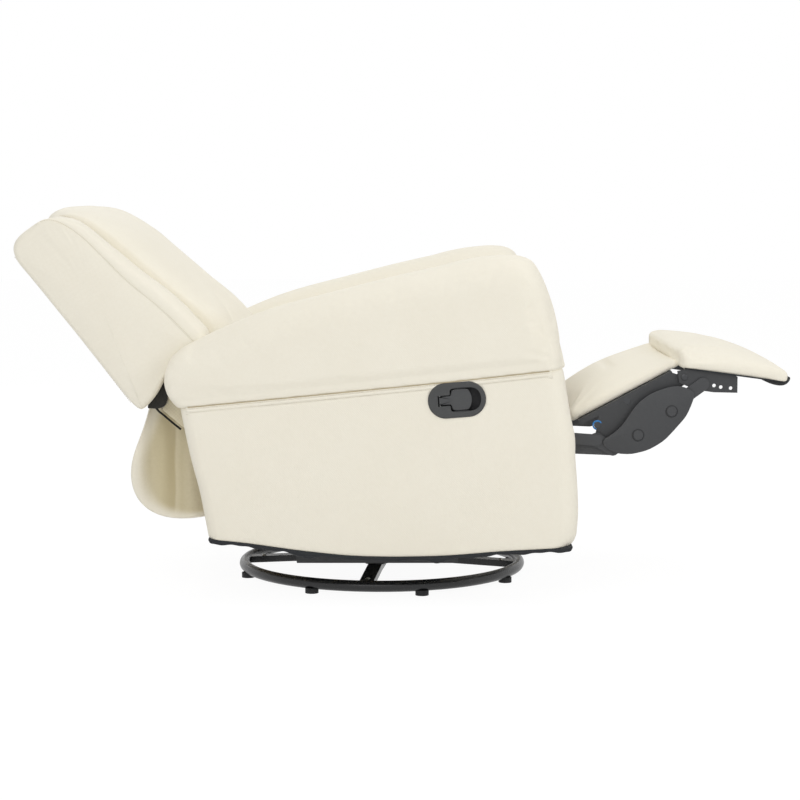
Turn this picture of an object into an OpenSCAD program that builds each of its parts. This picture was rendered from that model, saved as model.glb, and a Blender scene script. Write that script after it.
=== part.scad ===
// Swivel rocker recliner, drawn reclined with its footrest out.
// Origin on the floor under the swivel axis, +X to the footrest, +Y to the sitter's left, +Z up.

/* [Base] */
// Centre radius of the floor ring's tube
ring_r = 281; // [250:1:320]
// Radius of the ring's round tube
ring_tube_r = 11; // [9:0.5:13]
// Height of the glides' feet under the ring tube
glide_h = 8; // [6:0.5:12]
// Number of glides
glide_count = 8; // [6:1:12]
// Turn of the base on the floor
base_turn = -6; // [-45:1:45]
// Width of a spoke
spoke_w = 28; // [20:1:40]
// Radius of the hub plate
hub_r = 76; // [70:1:90]

/* [Rocker] */
// Height of the rocker pin's axis
pin_z = 100; // [98:1:104]
// Radius of the rocker pin
pin_r = 7; // [5:0.5:8]
// Thickness of the rocker's plates
rocker_t = 6; // [4:0.5:7]

/* [Arms] */
// Length of an arm from its rear end to its front
arm_l = 770; // [740:5:800]
// Rear end of the arms along X
arm_x0 = -402; // [-420:1:-390]
// Height of the side panels' lowest edge
side_z0 = 95; // [92:1:100]
// Height from that edge to the top of an arm
side_h = 566; // [540:2:600]
// Width of an arm from its inner to its outer face
arm_w = 121; // [115:1:130]
// How far the arm pad stands out past the panel
pad_proud = 6; // [2:0.5:10]

/* [Back] */
// Angle of the back from upright, as it lies reclined
back_lean = 37.2; // [30:0.1:40]
// Length of the back's side face
back_l = 410; // [380:2:440]
// Depth of the side face at the bottom of the back
back_d = 147; // [130:1:160]
// How far the back stands out past the seat cushion on each side
back_over = 83; // [76:1:95]

/* [Seat] */
// Half width of the seat cushion
seat_hw = 255; // [240:1:257]
// Height of the underside of the seat cushion
seat_z = 388; // [388:0.5:392]
// Thickness of the seat cushion at its edge
seat_t = 70; // [60:1:74]
// Rise of the seat cushion's crown
seat_crown = 20; // [10:1:20]
// Rear edge of the seat cushion
seat_x0 = -235; // [-240:1:-225]
// Front edge of the seat cushion
seat_x1 = 328; // [310:1:330]

/* [Footrest] */
// Length of the footrest pad
foot_l = 198; // [180:1:205]
// Thickness of the footrest pad at its edge
foot_t = 40; // [34:1:44]
// Slope of the footrest
foot_slope = 7.8; // [0:0.1:12]
// Length of the middle panel
mid_l = 232; // [200:1:233]
// Thickness of the middle panel at its edge
mid_t = 25; // [20:1:30]
// Slope of the middle panel
mid_slope = 28; // [26:0.1:30]
// Width of a footrest link
link_w = 25; // [20:0.5:28]

/* [Latch] */
// Length of the latch bezel
latch_l = 108; // [100:1:116]
// Height of the latch bezel
latch_h = 66; // [60:1:70]
// Tilt of the latch
latch_tilt = 4.5; // [0:0.1:8]

/* [Hidden] */
$fn = 48;

// Clearance between pieces that face each other
gap = 0.3;
// Radial clearance of a pin that turns in its hole
run_gap = 0.05;
// Overrun of a cut past the face that it leaves
over = 1;
// Facets of the children of a hull and of small round parts
small_fn = 24;

// Heights of the base, from the floor up
ring_z = glide_h + ring_tube_r;
glide_r = 13;
glide_hole_r = 2.2;
hub_z = 34;
hub_t = 6;
spoke_h = 13;
spoke_hub_z = hub_z;
spoke_root_r = 50;
hub_arm_r = 122;
hub_arm_w = 34;
hub_web_share = 0.8;
bolt_r = 8;
bolt_head_r = 15;
bolt_head_h = 8;
bolt_tip = 1.6;
race_z = hub_z + hub_t;
race_t = 6.5;
race_in = 45;
race_out = 75;
ball_r = 4;
ball_ring_r = 60;
ball_count = 16;
race_gap = 3;
plate_z = race_z + 2 * race_t + race_gap;
plate_t = 4;
plate_l = 150;
// The cradle's ears hold the rocker pin
ear_y = 56;
plate_w = 2 * (ear_y + rocker_t);
ear_r = 11;
ear_foot_w = 70;
// The rocker frame hangs on the pin outside the ears
bar_y = 64;
bar_front_x = 98;
bar_rear_x = -118;
bar_low_z = 66;
bar_top_z = pin_z + 11.6;
top_plate_l = 160;
// Coil springs between the swivel plate and the rocker frame's top
coil_x = 52;
coil_y = 32;
coil_r = 12;
coil_wire_r = 2;
coil_turns = 5;
coil_sides = 6;
coil_steps = 8;

// Widths that follow the seat cushion's, all measured from the middle
seat_side_gap = 13;
lumbar_over = 5;
foot_over = 7;
plate_in = 15;
mid_in = 6;
arm_in = seat_hw + seat_side_gap;
arm_out = arm_in + arm_w;
back_hw = seat_hw + back_over;
lumbar_hw = seat_hw + lumbar_over;
foot_hw = seat_hw + foot_over;
plate_y = seat_hw - plate_in;
mid_hw = plate_y - mid_in;

// Cross rails of the chassis
rail_low_z = 62;
rail_top_z = 96;
rail_wall = 3;
rear_rail_w = 44;
front_rail_w = 30;
// Mechanism rails stand on the ends of the cross rails
mech_in = 4;
mech_y = arm_in - mech_in;
mech_t = 3;
rail_hw = mech_y - gap;
mech_strip_h = 34;
mech_end_r = 20;

// Pivots in side view, as [x, z]
back_pivot = [-230, 310];
swing_rear = [-170, 190];
swing_front = [110, 190];
swing_l = 80;
swing_lean = 13;
swing_rise = [swing_l * sin(swing_lean), swing_l * cos(swing_lean)];
pin_a = [185.5, 316.4];
pin_b = [255, 290];
pin_q = [447, 282];
crank = [-35, 13];
pin_p2 = pin_q + crank;
pin_f1 = [619, 408];
pin_f2 = pin_f1 + crank;
tail_l = 36;
tail_a = 150;
pin_p1 = pin_q + tail_l * [cos(tail_a), sin(tail_a)];

// Layers of the linkage, from the seat plates outwards
link_t = 3;
layer_gap = 0.4;
layer_u2 = plate_y + link_t + layer_gap;
layer_l2 = layer_u2 + link_t + layer_gap;
layer_bracket = layer_l2 + link_t + layer_gap;
layer_u1 = layer_bracket + link_t + layer_gap;
layer_l1 = layer_u1 + link_t + layer_gap;
layer_cover = layer_l1 + link_t + layer_gap;
cover_t = 2;
cap_t = 1.6;
cap_r = 10.5;
rivet_r = 4;
// The rear link's rivet floats in a wide eye, because its true path is not a pure circle
float_r = 3.5;
eye_r = 8.2;
eye_ring_r = 14;
swing_step = 12;
swing_y = plate_y + swing_step;
swing_t = 4;
swing_w = 28;
swing_pin_r = 5;
tube_r = 9;
tube_wall = 2;

// Function for a loop with straight sides and round corners, counter-clockwise
side_steps = 5;
corner_steps = 4;
function loop(x0, x1, hy, r) =
    let (lx = x1 - x0 - 2 * r, ly = 2 * hy - 2 * r, n = side_steps, k = corner_steps)
    concat(
        [for (i = [0:n - 1]) [x1, -hy + r + ly * i / n]],
        [for (i = [0:k - 1]) [x1 - r + r * cos(90 * i / k), hy - r + r * sin(90 * i / k)]],
        [for (i = [0:n - 1]) [x1 - r - lx * i / n, hy]],
        [for (i = [0:k - 1]) [x0 + r - r * sin(90 * i / k), hy - r + r * cos(90 * i / k)]],
        [for (i = [0:n - 1]) [x0, hy - r - ly * i / n]],
        [for (i = [0:k - 1]) [x0 + r - r * cos(90 * i / k), -hy + r - r * sin(90 * i / k)]],
        [for (i = [0:n - 1]) [x0 + r + lx * i / n, -hy]],
        [for (i = [0:k - 1]) [x1 - r + r * sin(90 * i / k), -hy + r - r * cos(90 * i / k)]]);

function mean(ring) = [for (k = [0:2]) [for (p = ring) p[k]] * [for (p = ring) 1] / len(ring)];

// Closed solid through rings of points, which run counter-clockwise about its length
module skin(rings) {
    m = len(rings[0]);
    n = len(rings);
    points = concat([for (r = rings) each r], [mean(rings[0]), mean(rings[n - 1])]);
    walls = [for (i = [0:n - 2], j = [0:m - 1])
        let (a = i * m + j, b = i * m + (j + 1) % m) each [[a, b + m, b], [a, a + m, b + m]]];
    low = [for (j = [0:m - 1]) [n * m, j, (j + 1) % m]];
    high = [for (j = [0:m - 1]) [n * m + 1, (n - 1) * m + (j + 1) % m, (n - 1) * m + j]];
    polyhedron(points, concat(walls, low, high));
}

// Superellipse power that keeps the sign
function bend(v, e) = sign(v) * pow(abs(v), e);

// Padded slab on a flat board: crowned on top, with sides that draw in between the corners
rim_steps = 4;
crown_stops_share = [0.16, 0.36, 0.62, 0.88];
skew_fade = 0.65;
function slab_ring(x0, x1, hy, r, inset, z, draw, crown, skew, taper, t) =
    let (xc = (x0 + x1) / 2, hx = (x1 - x0) / 2)
    [for (p = loop(x0 + inset, x1 - inset, hy - inset, max(r - inset, r / 3)))
        let (sx = (p[0] - xc) / hx, sy = p[1] / hy,
             dome = crown * (1 - sx * sx) * (1 - sy * sy),
             zz = (z + dome) * (1 - taper * pow((sx + 1) / 2, 3)),
             lean = skew * z / t * (1 - sx) / 2 * (1 - skew_fade * sy * sy))
        [p[0] - draw * sx * (1 - sy * sy) - lean, p[1] - draw * sy * (1 - sx * sx), zz]];
module slab(x0, x1, hy, t, rim, r, crown, draw, skew = 0, taper = 0) {
    low_rim = rim / 2;
    reach = min((x1 - x0) / 2, hy) - rim;
    skin(concat(
        [for (i = [0:2]) slab_ring(x0, x1, hy, r, low_rim * (1 - sin(45 * i)),
            low_rim * (1 - cos(45 * i)), draw, 0, skew, taper, t)],
        [for (i = [0:rim_steps]) let (a = 90 * i / rim_steps)
            slab_ring(x0, x1, hy, r, rim * (1 - cos(a)), t - rim + rim * sin(a), draw,
                i == rim_steps ? crown : crown * i / rim_steps, skew, taper, t)],
        [for (s = crown_stops_share) slab_ring(x0, x1, hy, r, rim + reach * s, t, draw, crown,
            skew, taper, t)]));
}

// Flat plate in side view, on one side or both, from a distance y0 outwards
module plate(side, y0, t) {
    mirror([0, side > 0 ? 1 : 0, 0])
        translate([0, -y0, 0])
            rotate([90, 0, 0])
                linear_extrude(t)
                    children();
}
module both(y0, t) {
    for (side = [-1, 1]) plate(side, y0, t) children();
}
module disc(p, r) {
    translate(p) circle(r);
}
// Strip between two points, with round ends a hair wider than its sides
strip_step = 0.02;
module strip(p, q, w) {
    d = q - p;
    disc(p, w / 2);
    disc(q, w / 2);
    translate(p)
        rotate(atan2(d[1], d[0]))
            translate([0, -w / 2 + strip_step])
                square([norm(d), w - 2 * strip_step]);
}

// Base
module ring_tube(r) {
    translate([0, 0, ring_z])
        rotate_extrude($fn = 96)
            translate([ring_r, 0])
                circle(r, $fn = 32);
}
module at_glides() {
    rotate([0, 0, base_turn])
        for (i = [0:glide_count - 1])
            rotate([0, 0, (i + 0.5) * 360 / glide_count])
                translate([ring_r, 0, 0]) children();
}
// The ring, with a screw hole over each glide
module base_ring() {
    color("#262829")
        difference() {
            ring_tube(ring_tube_r);
            at_glides() cylinder(r = glide_hole_r, h = ring_z, $fn = small_fn);
        }
}
module base_cross() {
    foot_r = ring_r - ring_tube_r / 2;
    foot_z = ring_z - spoke_h / 2;
    color("#262829")
        rotate([0, 0, base_turn]) difference() {
            union() {
                for (a = [0:90:270])
                    rotate([0, 0, a])
                        translate([0, spoke_w / 2, 0])
                            rotate([90, 0, 0])
                                linear_extrude(spoke_w)
                                    polygon([[spoke_root_r, spoke_hub_z - spoke_h],
                                        [hub_arm_r, spoke_hub_z - spoke_h], [foot_r, foot_z],
                                        [foot_r, foot_z + spoke_h], [hub_arm_r, spoke_hub_z],
                                        [spoke_root_r, spoke_hub_z]]);
                translate([0, 0, hub_z])
                    linear_extrude(hub_t) {
                        circle(hub_r);
                        for (a = [0:90:270])
                            rotate(a)
                                polygon([[0, -hub_r], [hub_r / 2, -hub_r * hub_web_share],
                                    [hub_arm_r, -hub_arm_w / 2], [hub_arm_r, hub_arm_w / 2],
                                    [hub_r / 2, hub_r * hub_web_share], [0, hub_r]]);
                    }
            }
            ring_tube(ring_tube_r + gap / 3);
            translate([0, 0, hub_z - over]) cylinder(r = bolt_r + gap, h = hub_t + 2 * over);
        }
}
module floor_glides() {
    color("#1c1d1e")
        difference() {
            at_glides() cylinder(r = glide_r, h = glide_h + glide_hole_r, $fn = 32);
            at_glides() translate([0, 0, -over])
                cylinder(r = glide_hole_r, h = glide_h * 2, $fn = small_fn);
            ring_tube(ring_tube_r + gap / 3);
        }
}
// One domed screw on the foot of each spoke
screw_r = 5;
screw_h = 2.4;
screw_in = 30;
module spoke_screws() {
    run = ring_r - ring_tube_r / 2 - hub_arm_r;
    drop = hub_z - (ring_z + spoke_h / 2);
    share = (run - screw_in) / run;
    color("#8b8d8f")
        rotate([0, 0, base_turn])
            for (a = [0:90:270])
                rotate([0, 0, a])
                    translate([hub_arm_r + run * share, 0, hub_z - drop * share])
                        rotate([0, atan2(drop, run), 0])
                            translate([0, 0, gap / 3])
                                cylinder(r1 = screw_r, r2 = screw_r / 2, h = screw_h, $fn = small_fn);
}
module race(z, groove_z) {
    rotate_extrude($fn = 64)
        difference() {
            translate([race_in, z]) square([race_out - race_in, race_t]);
            translate([ball_ring_r, groove_z]) circle(ball_r + run_gap * 2, $fn = 32);
        }
}
ball_z = race_z + race_t + race_gap / 2;
module bearing_lower() {
    color("#8f9193") race(race_z, ball_z);
}
module bearing_balls() {
    color("#c8cacc")
        for (i = [0:ball_count - 1])
            rotate([0, 0, i * 360 / ball_count])
                translate([ball_ring_r, 0, ball_z])
                    sphere(ball_r, $fn = small_fn);
}
module swivel_bolt() {
    color("#8f9193") {
        translate([0, 0, hub_z - bolt_head_h - gap])
            cylinder(r = bolt_head_r, h = bolt_head_h, $fn = 6);
        translate([0, 0, hub_z - bolt_head_h])
            cylinder(r = bolt_r, h = plate_z + plate_t - hub_z + bolt_head_h + bolt_tip);
        translate([0, 0, plate_z + plate_t + gap])
            cylinder(r = bolt_head_r, h = bolt_head_h, $fn = 6);
    }
}

// Swivel body
module bearing_upper() {
    color("#8f9193") race(race_z + race_t + race_gap, ball_z);
}
module swivel_plate() {
    color("#2c2e2f") {
        difference() {
            translate([-plate_l / 2, -plate_w / 2, plate_z]) cube([plate_l, plate_w, plate_t]);
            translate([0, 0, plate_z - over])
                cylinder(r = bolt_r + run_gap * 2, h = plate_t + 2 * over);
        }
        both(ear_y, rocker_t) difference() {
            union() {
                disc([0, pin_z], ear_r);
                polygon([[-ear_foot_w / 2, plate_z + plate_t], [ear_foot_w / 2, plate_z + plate_t],
                    [ear_r, pin_z], [-ear_r, pin_z]]);
            }
            disc([0, pin_z], pin_r + gap / 3);
        }
    }
}
module rocker_pin() {
    l = 2 * (bar_y + rocker_t + pin_end);
    color("#9a9c9e")
        translate([0, -l / 2, pin_z])
            rotate([-90, 0, 0]) cylinder(r = pin_r, h = l);
}
// Wire of one spring, swept along a helix that starts and ends flat
coil_low = plate_z + plate_t + coil_wire_r + gap;
coil_high = bar_top_z - coil_wire_r - gap;
function coil_at(s) = let (a = 360 * coil_turns * s, z = coil_low + (coil_high - coil_low) * s)
    [coil_r * cos(a), coil_r * sin(a), z];
coil_rings = [for (i = [0:coil_turns * coil_steps])
    let (s = i / (coil_turns * coil_steps), a = 360 * coil_turns * s, c = coil_at(s))
    [for (j = [0:coil_sides - 1]) let (b = -360 * j / coil_sides)
        c + coil_wire_r * [cos(a) * cos(b), sin(a) * cos(b), sin(b)]]];
echo(least_gap_between_spring_turns = (coil_high - coil_low) / coil_turns - 2 * coil_wire_r);
module rocker_springs() {
    color("#b4b6b8")
        for (x = [-coil_x, coil_x], y = [-coil_y, coil_y])
            translate([x, y, 0]) skin(coil_rings);
}

// Chassis: everything that rocks with the arms
module rocker_frame() {
    color("#4a4b4c") {
        both(bar_y, rocker_t) difference() {
            polygon([[bar_rear_x + gap, bar_low_z], [bar_front_x - gap, bar_low_z],
                [bar_front_x - gap, bar_top_z - ear_r], [top_plate_l / 2, bar_top_z],
                [-top_plate_l / 2, bar_top_z], [bar_rear_x + gap, bar_top_z - ear_r]]);
            disc([0, pin_z], pin_r + run_gap);
        }
        translate([-top_plate_l / 2, -bar_y - rocker_t, bar_top_z])
            cube([top_plate_l, 2 * (bar_y + rocker_t), plate_t]);
    }
}
module cross_rail(x0, w) {
    h = rail_top_z - rail_low_z;
    color("#4a4b4c")
        translate([x0, rail_hw, rail_low_z])
            rotate([90, 0, 0])
                linear_extrude(2 * rail_hw)
                    difference() {
                        square([w, h]);
                        translate([rail_wall, rail_wall])
                            square([w - 2 * rail_wall, h - 2 * rail_wall]);
                    }
}
module cross_rail_rear() {
    cross_rail(bar_rear_x - rear_rail_w, rear_rail_w);
}
module cross_rail_front() {
    cross_rail(bar_front_x, front_rail_w);
}
side_bolt_x = [-60, 60];
side_bolt_z = 150;
side_bolt_r = 4;
side_bolt_l = 30;
bolt_washer_t = 3;
rivet_wall = 2;
rivet_over = 0.2;
pin_end = 2;
mech_front_x = 150;
mech_rear_x = bar_rear_x - rear_rail_w;
module mechanism_rail(side) {
    color("#4a4b4c") {
        plate(side, mech_y, mech_t) difference() {
            union() {
                strip(back_pivot, swing_rear, 2 * mech_end_r);
                strip(swing_rear, swing_front, mech_strip_h);
                polygon([[mech_rear_x, rail_low_z], [mech_front_x, rail_low_z],
                    [swing_front[0] + mech_strip_h, swing_front[1]],
                    swing_front, swing_rear, [mech_rear_x - mech_end_r, swing_rear[1]]]);
            }
            disc(back_pivot, rivet_r + rivet_wall + run_gap);
            for (x = side_bolt_x) disc([x, side_bolt_z], side_bolt_r + gap);
        }
        for (p = [swing_rear, swing_front])
            plate(side, swing_y - 1, mech_y - swing_y + 1) disc(p, swing_pin_r);
    }
}
module mechanism_rail_l() {
    mechanism_rail(1);
}
module mechanism_rail_r() {
    mechanism_rail(-1);
}
module side_bolts() {
    color("#b4b6b8") {
        both(mech_y - bolt_washer_t - gap, bolt_washer_t)
            for (x = side_bolt_x) disc([x, side_bolt_z], side_bolt_r * 2);
        both(mech_y - over, side_bolt_l) for (x = side_bolt_x) disc([x, side_bolt_z], side_bolt_r);
    }
}

// Side view of the arm, as shares of its length and height: seam, crest and bottom edge
seam_shares = [[0, 0.583], [0.009, 0.54], [0.031, 0.4975], [0.936, 0.6215], [1, 0.6303]];
crest_shares = [[0, 0.615], [0.009, 0.645], [0.031, 0.677], [0.075, 0.708], [0.212, 0.795],
    [0.465, 0.898], [0.669, 0.963], [0.805, 0.996], [0.866, 0.993], [0.896, 0.966],
    [0.923, 0.905], [0.951, 0.77], [0.972, 0.645]];
bottom_shares = [[0.112, 0.057], [0.182, 0.048], [0.327, 0.021], [0.449, 0.004], [0.57, 0],
    [0.692, 0.005], [0.813, 0.018], [0.979, 0.03]];
// Rear and front edge of the side panel, as shares of its own height and of the arm's length
rear_shares = [[0, 0.112], [0.2, 0.097], [0.33, 0.086], [0.6, 0.062], [0.87, 0.044], [1, 0.036]];
front_shares = [[0, 0.983], [0.04, 0.995], [0.1, 1], [0.35, 1], [0.5, 0.994],
    [0.7, 0.986], [1, 0.966]];
function arm_x(s) = arm_x0 + arm_l * s;
function arm_s(x) = (x - arm_x0) / arm_l;
function arm_z(s) = side_z0 + side_h * s;
function seam_z(x) = arm_z(lookup(arm_s(x), seam_shares));
function bottom_z(x) = arm_z(lookup(arm_s(x), bottom_shares));

// Arm pad: a long roll, lofted along the arm
pad_stops_share = [0.004, 0.012, 0.031, 0.055, 0.085, 0.15, 0.24, 0.35, 0.465, 0.57, 0.669,
    0.75, 0.82, 0.866, 0.896, 0.923, 0.942, 0.958, 0.97];
pad_points = 28;
pad_belly_share = 0.16;
pad_side_share = 0.55;
pad_crest_share = 0.72;
pad_seam_share = 0.3;
pad_in = 4;
function pad_section(s, inset) =
    let (x = arm_x(s), z0 = seam_z(x) + gap, z1 = arm_z(lookup(s, crest_shares)),
         zm = z0 + (z1 - z0) * pad_belly_share,
         yc = (arm_in + pad_in + arm_out + pad_proud) / 2, hw = arm_out + pad_proud - yc - inset)
    [for (i = [0:pad_points - 1]) let (a = 360 * i / pad_points, c = cos(a), q = sin(a))
        [x, yc + hw * bend(c, pad_side_share), q > 0 ? zm + (z1 - zm) * bend(q, pad_crest_share)
            : zm + (zm - z0) * bend(q, pad_seam_share)]];
pad_end_inset = 14;
module arm_pad(side) {
    n = len(pad_stops_share);
    color("#f0ebd8")
        mirror([0, side > 0 ? 0 : 1, 0])
            skin([for (i = [0:n - 1]) pad_section(pad_stops_share[i],
                i == 0 ? pad_end_inset : i == 1 ? pad_end_inset / 3 : i == n - 1
                    ? pad_end_inset : i == n - 2 ? pad_end_inset / 3 : 0)]);
}
module arm_pad_l() {
    arm_pad(1);
}
module arm_pad_r() {
    arm_pad(-1);
}

// Side panel: padded box from the bottom edge to the seam, with a pocket for its frame
panel_levels = [[0, 8], [0.02, 2], [0.06, 0], [0.2, 0], [0.33, 0], [0.6, 0], [0.87, 0],
    [0.96, 0], [0.985, 2], [1, 7]];
panel_r = 22;
function panel_ring(v, inset) =
    let (x0 = arm_x(lookup(v, rear_shares)), x1 = arm_x(lookup(v, front_shares)),
         yc = (arm_in + arm_out) / 2, hy = (arm_out - arm_in) / 2)
    [for (p = loop(x0 + inset, x1 - inset, hy - inset, panel_r - inset))
        [p[0], yc + p[1], bottom_z(p[0]) + (seam_z(p[0]) - gap - bottom_z(p[0])) * v]];
frame_depth_share = 0.413;
frame_y = arm_in + arm_w * frame_depth_share;
frame_t = 18;
frame_in_x = 30;
frame_low = 16;
frame_top = 24;
// Outline of the wooden frame, which follows the panel at a distance
frame_start_share = 0.112;
frame_end_share = 0.966;
frame_steps = 8;
function frame_outline(d) =
    let (x0 = arm_x(frame_start_share) + frame_in_x, x1 = arm_x(frame_end_share) - frame_in_x)
    concat(
        [for (i = [0:frame_steps]) let (x = x0 + (x1 - x0) * i / frame_steps)
            [x + (i == 0 ? -d : i == frame_steps ? d : 0), bottom_z(x) + frame_low - d]],
        [for (i = [frame_steps:-1:0]) let (x = x0 + (x1 - x0) * i / frame_steps)
            [x + (i == 0 ? -d : i == frame_steps ? d : 0), seam_z(x) - frame_top + d]]);
cable_r = 2.5;
cable_slot = 4;
cable_gate = [40, 250];
module side_panel(side) {
    color("#f0ebd8")
        difference() {
            mirror([0, side > 0 ? 0 : 1, 0])
                skin([for (l = panel_levels) panel_ring(l[0], l[1])]);
            plate(side, frame_y - gap, frame_t + 2 * gap) polygon(frame_outline(gap));
            for (x = side_bolt_x)
                plate(side, arm_in - over, mech_y + side_bolt_l + gap - arm_in)
                    disc([x, side_bolt_z], side_bolt_r + gap);
            if (side < 0) {
                plate(side, cup_y - gap, frame_out_y - cup_y + gap) latch_outline(gap - cup_in);
                plate(side, arm_in - over, frame_y - arm_in + 2 * over)
                    disc(cable_gate, cable_r + gap);
                plate(side, frame_y + frame_t, cup_y - frame_y - frame_t + over)
                    strip(cable_gate, latch_mid, 2 * cable_r + cable_slot);
            }
        }
}
module side_panel_l() {
    side_panel(1);
}
module side_panel_r() {
    side_panel(-1);
}
window_l = 120;
window_h = 90;
window_z = 210;
window_x = [-240, -90, 220];
module side_frame(side) {
    color("#c9a877")
        plate(side, frame_y, frame_t)
            difference() {
                polygon(frame_outline(0));
                for (x = window_x)
                    translate([x - window_l / 2, window_z - window_h / 2])
                        square([window_l, window_h]);
                if (side < 0) {
                    disc(cable_gate, cable_r + gap);
                }
                for (x = side_bolt_x) disc([x, side_bolt_z], side_bolt_r + gap);
            }
}
module side_frame_l() {
    side_frame(1);
}
module side_frame_r() {
    side_frame(-1);
}

// Flat sewn band just below the crease between pad and panel
welt_t = 1.5;
welt_top = 2;
welt_h = 12;
welt_start_share = 0.075;
welt_end_share = 0.936;
welt_steps = 12;
module arm_welt(side) {
    run_share = (welt_end_share - welt_start_share) / welt_steps;
    xs = [for (i = [0:welt_steps]) arm_x(welt_start_share + run_share * i)];
    color("#e6dfc8")
        plate(side, arm_out + gap, welt_t)
            difference() {
                polygon(concat([for (x = xs) [x, seam_z(x) - welt_top - welt_h]],
                    [for (i = [welt_steps:-1:0]) [xs[i], seam_z(xs[i]) - welt_top]]));
                if (side < 0) latch_outline(gap);
            }
}
module arm_welt_l() {
    arm_welt(1);
}
module arm_welt_r() {
    arm_welt(-1);
}
trim_h = 6;
trim_w = 56;
trim_start_share = 0.125;
trim_end_share = 0.965;
trim_steps = 10;
module bottom_trim() {
    run_share = (trim_end_share - trim_start_share) / trim_steps;
    xs = [for (i = [0:trim_steps]) arm_x(trim_start_share + run_share * i)];
    color("#3c3e41")
        both(arm_out - trim_w - panel_r / 2, trim_w)
            polygon(concat([for (x = xs) [x, bottom_z(x) - gap - trim_h]],
                [for (i = [trim_steps:-1:0]) [xs[i], bottom_z(xs[i]) - gap]]));
}
// Wooden rail between the side panels at the back, on which the skirt ends
back_rail_x = -318;
back_rail_l = 20;
back_rail_z = 130;
back_rail_h = 34;
back_rail_lean = 14;
module rear_rail() {
    color("#c9a877")
        translate([back_rail_x, arm_in - gap, back_rail_z])
            rotate([90, 0, 0])
                linear_extrude(2 * (arm_in - gap))
                    polygon([[back_rail_lean, 0], [back_rail_lean + back_rail_l, 0],
                        [back_rail_l, back_rail_h], [0, back_rail_h]]);
}
// Skirt: one sheet that hangs in a bow from the back to the rear rail
skirt_t = 3;
skirt_hw = mech_y - 2;
skirt_steps = 14;
skirt_top = [-436.5, 391];
skirt_low_z = 153;
skirt_low = [back_rail_x + back_rail_lean * (back_rail_z + back_rail_h - skirt_low_z - skirt_t)
    / back_rail_h - gap, skirt_low_z];
skirt_pull_top = [-467.8, 254.4];
skirt_pull_mid = [-474.1, 320.7];
skirt_pull_low = [-544.7, 113.9];
// Webs that close the bow at the sides, up to the back
web_in = 13;
web_edge = [[-320.5, 161], [-322, 250], [-345, 300], [-372, 326], [-424, 358]];
function bow(s) = let (r = 1 - s)
    r * r * r * r * skirt_top + 4 * s * r * r * r * skirt_pull_top
    + 6 * s * s * r * r * skirt_pull_mid + 4 * s * s * s * r * skirt_pull_low
    + s * s * s * s * skirt_low;
function bow_side(s, d) = let (e = 0.01, v = bow(s + e) - bow(s - e))
    bow(s) + d * [-v[1], v[0]] / norm(v);
module rear_skirt() {
    color("#e9e3cd") {
        translate([0, skirt_hw, 0])
            rotate([90, 0, 0])
                linear_extrude(2 * skirt_hw)
                    polygon(concat([for (i = [0:skirt_steps]) bow_side(i / skirt_steps, 0)],
                        [for (i = [skirt_steps:-1:0]) bow_side(i / skirt_steps, skirt_t)]));
        both(skirt_hw - web_in - skirt_t, skirt_t)
            polygon(concat([for (i = [2:skirt_steps]) bow_side(i / skirt_steps, skirt_t / 2)],
                web_edge));
    }
}

// Latch on the right-hand side
latch_mid = [143, 391];
cup_in = 4;
cup_depth_share = 0.19;
cup_y = arm_out - arm_w * cup_depth_share;
cup_floor = 2;
flange_t = 3;
frame_out_y = arm_out + over;
module latch_outline(d) {
    r = latch_h / 2 + d;
    run = (latch_l - latch_h) / 2;
    translate(latch_mid)
        rotate(latch_tilt) {
            disc([-run, 0], r);
            disc([run, 0], r);
            translate([-run, -r + strip_step]) square([2 * run, 2 * (r - strip_step)]);
        }
}
// Paddle and its stem, placed from the latch's middle
stem_l = 24;
stem_h = 19;
paddle_l = 38;
paddle_h = 42;
paddle_x = -11;
paddle_t = 7;
paddle_in = 7;
paddle_y = arm_out - paddle_in;
hinge_in = 3;
hinge_x = paddle_x - stem_l + hinge_in;
hinge_ear = [8, 6];
hinge_ear_out = 4;
hinge_pin_end = 1;
paddle_nose = 4;
hinge_r = 2;
module latch_bezel() {
    color("#4b4c4e") {
        plate(-1, cup_y, arm_out + gap + flange_t - cup_y) difference() {
            latch_outline(-cup_in);
            latch_outline(-cup_in - cup_floor);
        }
        plate(-1, cup_y, cup_floor) latch_outline(-cup_in);
        plate(-1, arm_out + gap, flange_t) difference() {
            latch_outline(0);
            latch_outline(-cup_in - cup_floor);
        }
        for (z = [-1, 1])
            plate(-1, cup_y, paddle_y + paddle_t - cup_y)
                translate(latch_mid)
                    rotate(latch_tilt)
                        translate([hinge_x, z * (stem_h / 2 + hinge_ear_out)])
                            square(hinge_ear, center = true);
    }
}
module latch_pin() {
    l = stem_h + 2 * hinge_pin_end + 2 * gap;
    color("#b4b6b8")
        translate([latch_mid[0], -(paddle_y + paddle_t / 2), latch_mid[1]])
            rotate([0, -latch_tilt, 0])
                translate([hinge_x, 0, -l / 2 + gap])
                    cylinder(r = hinge_r, h = l - 2 * gap, $fn = small_fn);
}
module latch_paddle() {
    color("#4b4c4e")
        translate([latch_mid[0], -paddle_y, latch_mid[1]])
            rotate([0, -latch_tilt, 0])
                difference() {
                    rotate([90, 0, 0])
                        linear_extrude(paddle_t) {
                            translate([paddle_x - stem_l, -stem_h / 2 + gap])
                                square([stem_l + over, stem_h - 2 * gap]);
                            translate([paddle_x, -paddle_h / 2]) square([paddle_l - paddle_nose, paddle_h]);
                            translate([paddle_x + paddle_nose / 2, 0])
                                intersection() {
                                    circle(paddle_l);
                                    translate([0, -paddle_h / 2]) square([paddle_l, paddle_h]);
                                }
                        }
                    translate([hinge_x, -paddle_t / 2, -stem_h])
                        cylinder(r = hinge_r + run_gap, h = 2 * stem_h, $fn = small_fn);
                }
}
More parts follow.
